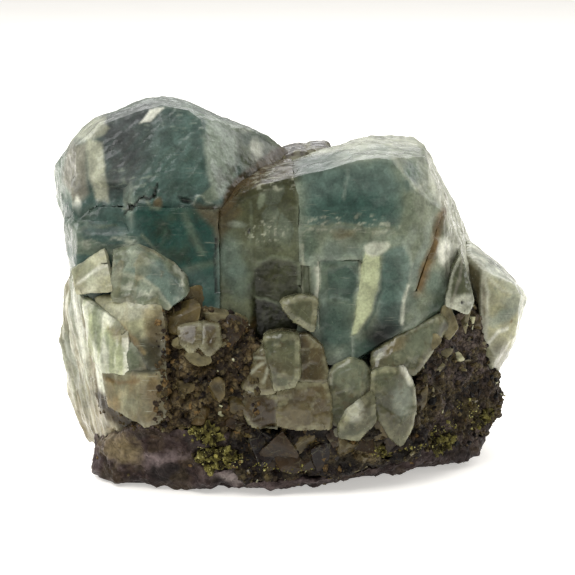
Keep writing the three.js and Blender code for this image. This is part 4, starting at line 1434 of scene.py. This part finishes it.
@dataclass
class LowerLeftStack:
    """The pale crystals stacked at the lower left."""

    cell: float = 0.4
    pale: FluoriteFinish = FluoriteFinish("pale_fluorite", dull=0.28, scuffs=0.6, coat=0.3)

    def pieces(self) -> tuple[tuple[str, Tone, str, tuple[Mark, ...], Relief], ...]:
        """Each crystal's node, ground tone, slot, layers and relief."""
        plain = Relief(grow=0.75, swell=0.3, swell_size=6.0, step=0.05, step_size=3.5)
        streaked = Relief(grow=0.7, swell=0.25, swell_size=5.0, step=0.06, comb=0.18, comb_size=1.4, comb_stretch=8.0,
                          comb_turn=92.0)
        # pale edges: wear and a painted rim highlight
        worn = EdgeWearAndHighlight(Tone.BONE, 0.22, -0.08, patchy=0.95)
        # sand-toned shards standing proud, with painted shading across each
        dirt = Shards(Tone.SAND, 0.35, 0.25, size=3.4, share=0.35, stretch=2.2, turn=84.0)
        green, pale = "fluorite_green", "fluorite_pale"
        return (
            ("pale_shard_crystal", Tone.STRAW, pale, (
                Cloud(Tone.BONE, 0.5, size=5.0, share=0.4, stretch=2.0, turn=50.0),
                Patch(Tone.SAGE, 0.6, x=-47.5, z=50.0, wide=3.0, high=3.0),
                Patch(Tone.SAND, 0.5, x=-41.6, z=44.0, wide=3.0, high=2.0),
                Vein(Tone.FROST, 0.6, route=((-48.4, 47.6), (-44.6, 50.6), (-41.8, 52.0)), wide=0.5),
                dirt, worn), plain),
            ("round_faced_crystal", Tone.SAGE, green, (
                Cloud(Tone.MIST, 0.5, size=4.0, share=0.35),
                Cloud(Tone.MOSS, 0.5, size=5.0, share=0.35, offset=4),
                Plate(Tone.SEA, 0.75, outline=((-37.5, 51.6), (-30.0, 53.0), (-25.6, 48.5), (-24.4, 43.0), (-27.0, 42.5),
                                               (-30.6, 47.6), (-33.5, 50.2)), soft=0.6),
                Vein(Tone.BONE, 0.6, 0.1, route=((-26.4, 51.6), (-24.6, 49.4), (-25.0, 47.4)), wide=0.8, ragged=0.8),
                Vein(Tone.CREAM, 0.55, route=((-38.0, 50.4), (-33.5, 49.8), (-30.2, 47.2), (-26.6, 42.6)), wide=0.35),
                Patch(Tone.SAND, 0.5, x=-37.5, z=42.5, wide=3.0, high=1.6),
                Cloud(Tone.BONE, 0.6, size=1.4, share=0.2, octaves=3, within=(-35.0, 46.0, 4.0, 3.0)),
                dirt, worn), plain),
            ("shoulder_crystal", Tone.STRAW, pale, (
                Cloud(Tone.MOSS, 0.6, size=5.0, share=0.5),
                Patch(Tone.BONE, 0.5, x=-36.5, z=42.6, wide=4.0, high=1.6),
                Plate(Tone.SAND, 0.55, outline=((-33.5, 43.5), (-28.0, 43.0), (-28.0, 30.0), (-31.0, 31.0),
                                                (-32.6, 37.0)), soft=1.0),
                Patch(Tone.UMBER, 0.7, x=-30.0, z=37.5, wide=2.2, high=5.5),
                Plate(Tone.GLOOM, 0.8, outline=((-38.0, 36.4), (-33.0, 37.0), (-28.0, 36.0), (-28.0, 28.0),
                                                 (-38.0, 28.0)), soft=1.4),
                Vein(Tone.SAND, 0.8, route=((-41.5, 41.0), (-38.0, 39.6), (-34.8, 36.0), (-32.8, 33.6)), wide=0.6),
                Vein(Tone.RUST, 0.6, route=((-40.6, 40.4), (-37.6, 38.4), (-35.0, 35.4)), wide=0.4),
                dirt, worn), plain),
            ("pale_column_crystal", Tone.BUTTER, pale, (
                Cloud(Tone.FROST, 0.6, size=1.8, share=0.4, stretch=7.0, turn=94.0, octaves=3),
                Cloud(Tone.SAGE, 0.7, size=2.4, share=0.45, stretch=6.0, turn=97.0, octaves=3, offset=7),
                Plate(Tone.SAND, 0.55, outline=((-42.0, 39.5), (-37.0, 38.5), (-37.0, 34.5), (-39.6, 36.5)), soft=0.8),
                Vein(Tone.FROST, 0.8, route=((-37.6, 36.4), (-37.2, 31.0), (-37.4, 26.6)), wide=0.5),
                Band(Tone.SAND, 0.55, full=21.0, none=27.0),
                dirt, worn), streaked),
            ("teal_column_crystal", Tone.MOSS, green, (
                Patch(Tone.SAGE, 0.6, x=-35.8, z=33.0, wide=1.6, high=4.0),
                Patch(Tone.UMBER, 0.65, x=-32.0, z=32.0, wide=2.0, high=5.0),
                Patch(Tone.UMBER, 0.75, x=-33.0, z=28.0, wide=3.6, high=2.2),
                dirt, worn), plain),
            ("step_crystal", Tone.SAND, pale, (
                Cloud(Tone.STRAW, 0.5, size=1.6, share=0.3, stretch=5.0, turn=84.0, octaves=3),
                Plate(Tone.UMBER, 0.65, outline=((-33.5, 28.0), (-27.0, 28.0), (-27.0, 14.0), (-34.0, 14.0)), soft=2.6),
                # painted shade: the upward-facing facets made dark
                FacingLightShade(Tone.GLOOM, 0.85, towards=(0.0, -0.1, 1.0), reach=0.4),
                Patch(Tone.PEAT, 0.8, -1.1, x=-27.4, z=24.6, wide=1.5, high=1.8, ragged=1.2),
                Patch(Tone.PEAT, 0.8, -1.1, x=-27.2, z=18.0, wide=1.7, high=1.5, ragged=1.2),
                Cloud(Tone.MOSS, 0.6, size=3.0, share=0.35, stretch=3.0, turn=88.0, offset=5),
                Patch(Tone.SAGE, 0.5, x=-35.0, z=21.0, wide=3.0, high=3.5),
                Vein(Tone.RUST, 0.75, route=((-43.0, 27.0), (-38.0, 26.6), (-34.0, 27.4)), wide=0.7, ragged=0.8),
                Band(Tone.UMBER, 0.7, full=15.5, none=22.0),
                # pale edges: wear and a painted rim highlight
                dirt, EdgeWearAndHighlight(Tone.CREAM, 0.3, patchy=0.9)), streaked),
            ("left_flank_crystal", Tone.BONE, pale, (
                Cloud(Tone.FROST, 0.75, size=1.8, share=0.4, stretch=9.0, turn=100.0, octaves=3),
                Cloud(Tone.SAND, 0.65, -0.2, size=2.0, share=0.3, stretch=7.0, turn=101.0, octaves=3, offset=7),
                Cloud(Tone.SAGE, 0.6, size=4.0, share=0.4, stretch=3.0, turn=98.0, offset=11),
                Band(Tone.SAND, 0.7, full=8.0, none=26.0),
                Vein(Tone.DUSK, 0.95, 0.15, route=((-43.5, 21.0), (-41.0, 17.8), (-36.0, 15.0)), wide=3.8, soft=1.2,
                     ragged=1.4),
                dirt, worn), Relief(swell=0.4, swell_size=6.0, comb=0.4, comb_size=1.7, comb_stretch=9.0,
                                    comb_turn=100.0)),
        )

    def build(self) -> list[bpy.types.Object]:
        """Grows the stack."""
        finish = self.pale.build()
        return [Crystal(node, ground, finish, slot, marks, relief, self.cell, seed=10 + index, rounds=0).build()
                for index, (node, ground, slot, marks, relief) in enumerate(self.pieces())]


@dataclass
class RightSideCrystals:
    """The pale spire and the glassy crystal at the right."""

    cell: float = 0.42
    finish: FluoriteFinish = FluoriteFinish("glassy_fluorite", dull=0.14, scuffs=0.5, coat=0.5)

    def build(self) -> list[bpy.types.Object]:
        """Grows the two crystals."""
        finish = self.finish.build()
        spire = (
            Cloud(Tone.MOSS, 0.45, size=3.0, share=0.4, stretch=2.5, turn=80.0),
            Patch(Tone.BONE, 0.7, x=39.0, z=42.8, wide=2.4, high=1.5),
            Patch(Tone.SOOT, 0.9, -0.5, x=39.1, z=42.6, wide=0.42, high=0.35),
            Vein(Tone.TAUPE, 0.7, route=((39.4, 52.0), (39.0, 48.0), (36.4, 42.4)), wide=0.4),
            # creases in a rust tone as painted crease shade; pale edges: wear and a painted rim highlight
            CreaseShade(Tone.RUST, 0.4), EdgeWearAndHighlight(Tone.BONE, 0.6, patchy=0.4),
        )
        side = (
            # painted light: the top and the right-facing facets made pale where the light falls on them
            FacingLightShade(Tone.FROST, 0.97, towards=(0.3, -0.1, 1.0), reach=0.5),
            FacingLightShade(Tone.BONE, 0.6, towards=(0.9, 0.3, 0.1), reach=0.55),
            Cloud(Tone.MOSS, 0.45, size=5.0, share=0.4, stretch=2.0, turn=-35.0),
            Cloud(Tone.MIST, 0.55, size=3.0, share=0.3, stretch=3.0, turn=-30.0, offset=5),
            Plate(Tone.UMBER, 0.75, outline=((42.0, 50.0), (45.0, 48.0), (46.2, 42.0), (46.0, 28.0), (42.0, 30.0)),
                  soft=0.8),
            Vein(Tone.BONE, 0.7, route=((45.2, 49.0), (46.4, 42.0), (46.0, 30.0)), wide=0.6),
            Vein(Tone.BONE, 0.6, route=((46.4, 46.0), (50.0, 42.6), (54.0, 41.6)), wide=0.5),
            Patch(Tone.HAZE, 0.7, x=50.0, z=36.4, wide=2.8, high=1.6, turn=15.0),
            Patch(Tone.RUST, 0.7, x=52.0, z=35.0, wide=0.5, high=0.4),
            Vein(Tone.FROST, 0.7, route=((46.8, 30.0), (49.0, 32.6), (51.0, 33.4)), wide=0.9),
            Patch(Tone.TAUPE, 0.6, x=49.4, z=25.5, wide=2.4, high=4.4),
            # creases in a rust tone as painted crease shade; pale edges: wear and a painted rim highlight
            CreaseShade(Tone.RUST, 0.4), EdgeWearAndHighlight(Tone.BONE, 0.6, patchy=0.4),
        )
        calm = Relief(swell=0.3, swell_size=6.0, step=0.07, step_size=5.0, grit=0.02)
        slot = "fluorite_pale"
        return [
            Crystal("pointed_crystal", Tone.MOSS, finish, slot, spire, calm, 0.3, seed=31).build(),
            Crystal("side_crystal", Tone.STRAW, finish, slot, side, calm, self.cell, seed=32).build(),
        ]


@dataclass
class QuartzCrystals:
    """The smoky glassy quartz along the front, in the notch and in the druse."""

    cell: float = 0.32
    finish: QuartzFinish = QuartzFinish("smoky_quartz")
    lighter: tuple[str, ...] = ("front_crystal_top", "front_crystal_upper", "front_crystal_round",
                                "front_crystal_ramp", "front_crystal_right", "front_crystal_knob")
    darker: tuple[str, ...] = ("notch_crystal_left", "notch_crystal_right")
    names: tuple[str, ...] = (
        "notch_crystal_left", "notch_crystal_right", "front_crystal_top", "front_crystal_upper",
        "front_crystal_upper_right", "front_crystal_left", "front_crystal_lower_left",
        "front_crystal_lower_right", "front_crystal_round", "front_crystal_knob", "front_crystal_ramp",
        "front_crystal_right", "druse_crystal_left", "druse_crystal_right",
    )

    def marks(self, name: str) -> tuple[Mark, ...]:
        """One crystal's layers."""
        shared: tuple[Mark, ...] = (
            Shards(Tone.GLASS, 0.45, 0.18, size=5.0, share=0.45, stretch=1.4),
            Shards(Tone.OLIVE, 0.45, -0.12, size=4.0, share=0.35, stretch=1.6, turn=40.0, offset=5),
            Cloud(Tone.DUSK, 0.55, size=6.0, share=0.4, crisp=0.5, octaves=3, offset=9),
            Cloud(Tone.STRAW, 0.25, size=1.6, share=0.1, octaves=5, offset=17),
        )
        own: dict[str, tuple[Mark, ...]] = {
            "front_crystal_knob": (Patch(Tone.BONE, 0.75, x=14.0, z=20.6, wide=2.0, high=2.2),),
            "front_crystal_round": (Patch(Tone.SAGE, 0.6, x=13.5, z=28.0, wide=4.5, high=3.5),
                                    Vein(Tone.BONE, 0.7, route=((9.4, 30.0), (9.2, 26.0)), wide=0.5)),
            "front_crystal_ramp": (Patch(Tone.SAGE, 0.6, x=29.0, z=34.5, wide=6.0, high=2.4, turn=38.0),
                                   Patch(Tone.CREAM, 0.8, x=20.6, z=31.6, wide=1.1, high=0.5, turn=40.0),
                                   Patch(Tone.SAND, 0.5, x=23.5, z=33.5, wide=2.6, high=1.2, turn=40.0)),
            "front_crystal_right": (Vein(Tone.FROST, 0.75, 0.1, route=((23.6, 31.0), (25.4, 28.4), (26.8, 25.6)),
                                         wide=0.8),
                                    Patch(Tone.MIST, 0.5, x=25.0, z=22.0, wide=2.0, high=4.0)),
            "front_crystal_left": (Vein(Tone.CREAM, 0.6, route=((-8.0, 31.8), (-5.0, 32.2)), wide=0.4),
                                   Vein(Tone.CREAM, 0.6, route=((-8.6, 28.6), (-5.0, 31.8)), wide=0.4),
                                   Vein(Tone.CREAM, 0.6, route=((-6.0, 27.0), (-4.6, 31.8)), wide=0.4)),
            "front_crystal_top": (Patch(Tone.MOSS, 0.6, x=2.0, z=42.0, wide=3.0, high=4.0),),
            # the soot patch sunk at the foot is painted shade in the pocket there
            "front_crystal_lower_left": (Patch(Tone.DUSK, 0.85, x=-4.6, z=20.0, wide=5.4, high=5.0, ragged=1.5, soft=0.9),
                                         Patch(Tone.SOOT, 0.97, -1.2, x=-5.2, z=15.4, wide=3.0, high=1.6)),
        }
        # painted crease shade in the inward creases; pale edges: wear and a painted rim highlight
        edges = (CreaseShade(Tone.PEAT, 0.6), EdgeWearAndHighlight(Tone.STRAW, 0.5, -0.1, patchy=0.8))
        return shared + own.get(name, ()) + edges

    def build(self) -> list[bpy.types.Object]:
        """Grows the quartz."""
        finish = self.finish.build()
        relief = Relief(grow=0.95, swell=0.3, swell_size=7.0, step=0.03, step_size=4.0, grit=0.015)
        made = []
        for index, name in enumerate(self.names):
            ground = Tone.SMOKE
            if name in self.lighter:
                ground = Tone.MOSS
            if name in self.darker:
                ground = Tone.DUSK
            made.append(Crystal(name, ground, finish, "quartz_smoky", self.marks(name), relief, self.cell,
                                crisp=34.0, seed=40 + index, rounds=1).build())
        return made


@dataclass
class Crust:
    """The brown druse and the purple matrix under it."""

    cell: float = 0.42
    druse: CrustFinish = CrustFinish("brown_druse", grain=0.8, contrast=0.4)
    dark: CrustFinish = CrustFinish("dark_druse", grain=0.7, contrast=0.4, fleck=Tone.SMOKE, gap=Tone.SOOT)
    rock: CrustFinish = CrustFinish("purple_rock", grain=1.1, contrast=0.3, fleck=Tone.LILAC, flecks=0.3,
                                    gap=Tone.SOOT, gaps=0.15, dull=0.55)
    neighbours: tuple[str, ...] = (
        "left_crystal", "centre_crystal", "right_crystal", "shoulder_crystal", "teal_column_crystal",
        "step_crystal", "front_crystal_upper", "front_crystal_left", "front_crystal_lower_left",
        "front_crystal_top", "front_crystal_ramp", "front_crystal_right", "left_flank_crystal",
    )
    border: tuple[tuple[float, float, float, float], ...] = (
        (-28.6, 38.0, 2.2, 5.0), (-28.4, 25.0, 2.6, 8.0), (-24.0, 43.0, 4.0, 1.8), (-12.5, 38.0, 3.6, 3.0),
        (-9.0, 34.0, 1.6, 4.0), (-8.5, 24.0, 1.4, 5.0), (-33.0, 15.4, 6.0, 1.8),
    )
    lumps: tuple[Lump, ...] = (
        Lump(-24.6, 41.0, 3.2, 3.0, 20.0, Tone.SMOKE), Lump(-18.4, 40.6, 3.0, 2.6, -25.0, Tone.GLASS),
        Lump(-21.6, 43.6, 2.4, 2.8, 10.0, Tone.SMOKE), Lump(-14.2, 38.0, 2.8, 3.4, -10.0, Tone.DUSK),
        Lump(-17.6, 36.4, 1.8, 2.2, 30.0, Tone.SMOKE), Lump(-21.0, 33.6, 2.4, 1.8, -20.0, Tone.GLASS, 0.2),
        Lump(-7.6, 12.0, 3.0, 3.6, 20.0, Tone.PEAT), Lump(-2.6, 12.0, 3.2, 3.2, -15.0, Tone.DUSK),
        Lump(-0.4, 7.8, 2.8, 2.4, 30.0, Tone.DUSK), Lump(3.2, 13.4, 3.6, 3.2, 25.0, Tone.SMOKE),
        Lump(7.4, 10.4, 3.2, 3.0, -20.0, Tone.PEAT), Lump(9.0, 15.0, 2.4, 2.4, 0.0, Tone.DUSK),
        Lump(12.2, 12.0, 2.8, 3.2, 10.0, Tone.SMOKE), Lump(4.0, 8.0, 2.4, 2.0, -10.0, Tone.DUSK),
        Lump(16.4, 12.0, 2.4, 2.8, 30.0, Tone.DUSK), Lump(19.6, 15.4, 1.8, 4.0, -12.0, Tone.SMOKE),
        Lump(22.2, 12.4, 2.2, 3.0, 15.0, Tone.DUSK), Lump(-12.0, 16.4, 2.2, 2.0, 0.0, Tone.DUSK),
        Lump(-11.4, 21.0, 1.8, 2.4, 20.0, Tone.SMOKE), Lump(16.4, 17.6, 1.6, 1.8, 0.0, Tone.DUSK),
        Lump(-5.0, 8.0, 2.4, 2.2, 0.0, Tone.DUSK), 
        Lump(36.6, 37.4, 1.4, 3.0, 8.0, Tone.GLASS), Lump(40.4, 36.6, 1.3, 2.8, -10.0, Tone.GLASS),
        Lump(35.4, 30.6, 1.8, 1.4, 35.0, Tone.GLASS), Lump(38.8, 28.4, 1.9, 1.3, -20.0, Tone.STRAW),
        Lump(34.6, 27.6, 1.2, 1.0, 0.0, Tone.GLASS), Lump(43.6, 35.6, 1.4, 1.8, 20.0, Tone.SMOKE),
        Lump(41.6, 31.6, 1.4, 1.8, -30.0, Tone.SMOKE), Lump(32.4, 33.6, 1.6, 1.6, 30.0, Tone.GLASS),
        Lump(29.2, 20.0, 2.0, 3.0, -20.0, Tone.SMOKE), Lump(-24.4, 26.0, 1.8, 1.6, 20.0, Tone.SMOKE, 0.3),
        Lump(-17.0, 25.0, 1.6, 2.0, -20.0, Tone.SMOKE, 0.3), Lump(-20.6, 19.6, 2.2, 2.0, 10.0, Tone.UMBER, 0.3),
    )

    def build(self, crystals: dict[str, bpy.types.Object]) -> list[bpy.types.Object]:
        """Grows the crust and strews its grains and small crystals.

        Args:
            crystals: the finished crystals by CAD node.
        Returns:
            The finished pieces.
        """
        druse, dark, rock = self.druse.build(), self.dark.build(), self.rock.build()
        lumpy = Relief(grow=0.2, swell=1.1, swell_size=4.5, step=0.3, step_size=2.6, grit=0.3)
        rough = Relief(swell=0.6, swell_size=6.0, step=0.3, step_size=5.0, grit=0.2)
        slot = "druse_brown"
        # dark clouds sunk into the druse: painted shade in its hollows; the sand cloud stands proud
        hollow_shade_and_sand = (Cloud(Tone.PEAT, 0.8, -0.5, size=3.0, share=0.45),
                  Cloud(Tone.SOOT, 0.9, -0.9, size=2.0, share=0.16, octaves=3, offset=13),
                  Cloud(Tone.SAND, 0.5, 0.2, size=2.0, share=0.2, offset=7))
        # the soot cloud sunk into the dark druse is painted shade in its hollows
        deep = (Cloud(Tone.SOOT, 0.7, -0.5, size=3.0, share=0.4),
                Cloud(Tone.SMOKE, 0.7, 0.15, size=2.2, share=0.35, offset=7),
                Cloud(Tone.LILAC, 0.3, size=4.0, share=0.3, offset=19),
                Patch(Tone.SMOKE, 0.6, x=31.0, z=19.0, wide=4.0, high=5.0))
        left = Crystal("left_druse", Tone.UMBER, druse, slot, hollow_shade_and_sand, lumpy, self.cell, seed=61).build()
        front = Crystal("front_druse", Tone.PEAT, druse, slot, (
            # the soot cloud and the soot patch are sunk and darkened: painted shade in the hollows and the pocket
            Cloud(Tone.SMOKE, 0.5, size=3.0, share=0.35), Cloud(Tone.SOOT, 0.7, -0.3, size=2.6, share=0.35, offset=5),
            Patch(Tone.SOOT, 0.95, -0.9, x=-5.0, z=15.2, wide=4.5, high=1.8),
            Patch(Tone.SAND, 0.6, x=18.0, z=9.5, wide=3.5, high=2.5)), lumpy, self.cell, seed=62).build()
        shrunk = Relief(grow=-0.4, swell=1.1, swell_size=4.5, step=0.3, step_size=2.6, grit=0.3)
        right = Crystal("right_druse", Tone.DUSK, dark, slot, deep, shrunk, self.cell, seed=63).build()
        base = Crystal("matrix_base", Tone.PLUM, rock, "matrix_purple", (
            Cloud(Tone.SOOT, 0.6, -0.3, size=5.0, share=0.35),
            Cloud(Tone.LILAC, 0.3, 0.15, size=4.0, share=0.2, offset=5),
            Cloud(Tone.UMBER, 0.4, size=6.0, share=0.25, offset=9),
            Patch(Tone.FROST, 0.5, x=-12.5, z=4.8, wide=3.6, high=1.2, ragged=1.4),
            Patch(Tone.LILAC, 0.85, x=-12.0, z=5.4, wide=6.0, high=2.2, ragged=1.4),
            Patch(Tone.LILAC, 0.6, x=-29.0, z=8.2, wide=4.5, high=1.6, ragged=1.8),
            Patch(Tone.LILAC, 0.6, x=32.0, z=7.4, wide=7.0, high=1.2, turn=14.0, ragged=1.2),
            Patch(Tone.LILAC, 0.6, x=42.5, z=10.4, wide=2.6, high=2.6, ragged=1.2),
            Patch(Tone.SAND, 0.7, x=-39.8, z=10.6, wide=5.0, high=3.4, turn=-25.0, ragged=2.6),
            Patch(Tone.DUSK, 0.95, x=-38.5, z=16.6, wide=6.0, high=2.6, ragged=1.2),
            # painted crease shade in the creases; lilac edges: wear and a painted rim highlight
            CreaseShade(Tone.SOOT, 0.5), EdgeWearAndHighlight(Tone.LILAC, 0.3, -0.3)), rough, 0.6, seed=64).build()
        around = [crystals[name] for name in self.neighbours]
        made = [left, front, right, base]
        pale = [crystals[name] for name in ("step_crystal", "shoulder_crystal", "teal_column_crystal")]
        brown = (Tone.UMBER, Tone.SMOKE, Tone.UMBER, Tone.RUST, Tone.DUSK, Tone.SMOKE, Tone.PEAT, Tone.DUSK)
        black = (Tone.PEAT, Tone.SOOT, Tone.DUSK, Tone.SMOKE, Tone.UMBER, Tone.SMOKE)
        clear = (Tone.GLASS, Tone.SMOKE, Tone.STRAW)
        gravel = [
            (Grains("left_druse_grains", GrainShape.NUGGET, 2600, 0.35, 2.0, brown, slot, seed=71), [left], druse),
            (Grains("left_druse_border", GrainShape.NUGGET, 900, 0.35, 2.0, brown, slot, self.border, sink=0.1,
                    seed=76, behind=False), around, druse),
            (Grains("step_border", GrainShape.NUGGET, 520, 0.4, 2.4, brown[:5], slot, ((-28.0, 26.5, 1.5, 10.0),),
                    sink=0.15, seed=77, behind=False), pale, druse),
            (Grains("flank_crust", GrainShape.NUGGET, 260, 0.3, 1.4, brown[:4], slot, ((-40.5, 18.0, 4.2, 1.5),
                                                                                      (-36.0, 16.0, 4.0, 1.2)),
                    sink=0.2, seed=78, behind=False), [crystals["left_flank_crystal"], base], druse),
            (Grains("front_druse_grains", GrainShape.NUGGET, 1300, 0.4, 2.2, brown, slot, seed=72), [front], druse),
            (Grains("right_druse_grains", GrainShape.NUGGET, 1700, 0.35, 2.2, black, slot, seed=73), [right], dark),
            (Grains("matrix_grains", GrainShape.NUGGET, 500, 0.5, 1.8, brown, "matrix_purple", seed=75), [base],
             rock),
        ]
        for grains, on, finish in gravel:
            made.append(grains.build(on, finish))
        quartz = QuartzFinish("small_quartz", dull=0.2, depth=0.08, coat=0.12).build()
        made.append(Grains("druse_points", GrainShape.POINT, 260, 0.8, 2.6, clear, "quartz_smoky",
                           seed=74).build([left, right, front], quartz))
        made.append(LumpField("druse_lumps", self.lumps).build(made[:4] + around, quartz))
        return made


@dataclass
class LichenPatches:
    """The yellow-green lichen at the foot of the front."""

    cell: float = 0.4
    finish: CrustFinish = CrustFinish("lichen_skin", grain=0.5, contrast=0.3, fleck=Tone.LICHEN_PALE, flecks=0.5,
                                      gap=Tone.LICHEN_DARK, gaps=0.5, dull=0.8, depth=0.2)
    names: tuple[str, ...] = ("lichen_left_upper", "lichen_left_lower", "lichen_middle", "lichen_right",
                              "lichen_edge")
    areas: tuple[tuple[float, float, float, float], ...] = (
        (-21.5, 15.0, 3.4, 1.6), (-17.6, 9.6, 4.2, 3.4), (-12.5, 9.0, 1.6, 1.6), (-6.0, 7.4, 4.0, 1.0),
        (1.0, 6.6, 4.5, 0.9), (35.5, 11.0, 3.6, 2.4), (28.0, 9.4, 3.5, 0.8), (43.5, 12.4, 1.6, 3.5),
        (41.0, 16.5, 2.6, 1.2), (20.0, 9.6, 2.2, 1.2),
    )

    def build(self, hosts: Sequence[bpy.types.Object]) -> None:
        """Grows the patches and the small lobes round them.

        Args:
            hosts: the crust that the lobes sit on.
        """
        finish = self.finish.build()
        slot = "lichen_green"
        curly = Relief(grow=-0.1, swell=0.5, swell_size=1.3, step=0.25, step_size=1.0, grit=0.5)
        marks = (Cloud(Tone.LICHEN, 0.8, 0.25, size=1.0, share=0.5),
                 Cloud(Tone.LICHEN_DARK, 0.7, -0.3, size=1.6, share=0.35, offset=3),
                 # the peat cloud sunk deep is painted shade in the lichen's holes
                 Cloud(Tone.PEAT, 0.95, -1.2, size=1.6, share=0.45, crisp=0.1, offset=8))
        made = [Crystal(name, Tone.LICHEN_DARK, finish, slot, marks, curly, self.cell, seed=80 + index).build()
                for index, name in enumerate(self.names)]
        tones = (Tone.LICHEN, Tone.LICHEN_PALE, Tone.LICHEN, Tone.LICHEN_DARK)
        Grains("lichen_lobes", GrainShape.LOBE, 2600, 0.3, 0.95, tones, slot, self.areas, sink=0.1, flat=0.55,
               seed=85, behind=False).build(list(hosts) + made, finish)


def main() -> None:
    """Builds the studio and the specimen, and reports every piece."""
    logging.basicConfig(level=logging.INFO, format="%(name)s %(message)s")
    Studio().build()
    grown = GreenCrystals().build() + LowerLeftStack().build() + RightSideCrystals().build()
    grown += QuartzCrystals().build()
    crust = Crust().build({piece.name.removesuffix("_grown"): piece for piece in grown})
    LichenPatches().build(crust)


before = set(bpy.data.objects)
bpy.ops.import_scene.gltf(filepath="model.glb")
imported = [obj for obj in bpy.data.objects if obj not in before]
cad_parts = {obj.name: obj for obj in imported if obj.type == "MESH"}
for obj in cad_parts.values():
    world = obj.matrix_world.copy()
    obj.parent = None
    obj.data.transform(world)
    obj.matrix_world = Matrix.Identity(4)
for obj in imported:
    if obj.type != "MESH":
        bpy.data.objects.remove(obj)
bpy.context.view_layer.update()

if __name__ == "__main__":
    main()
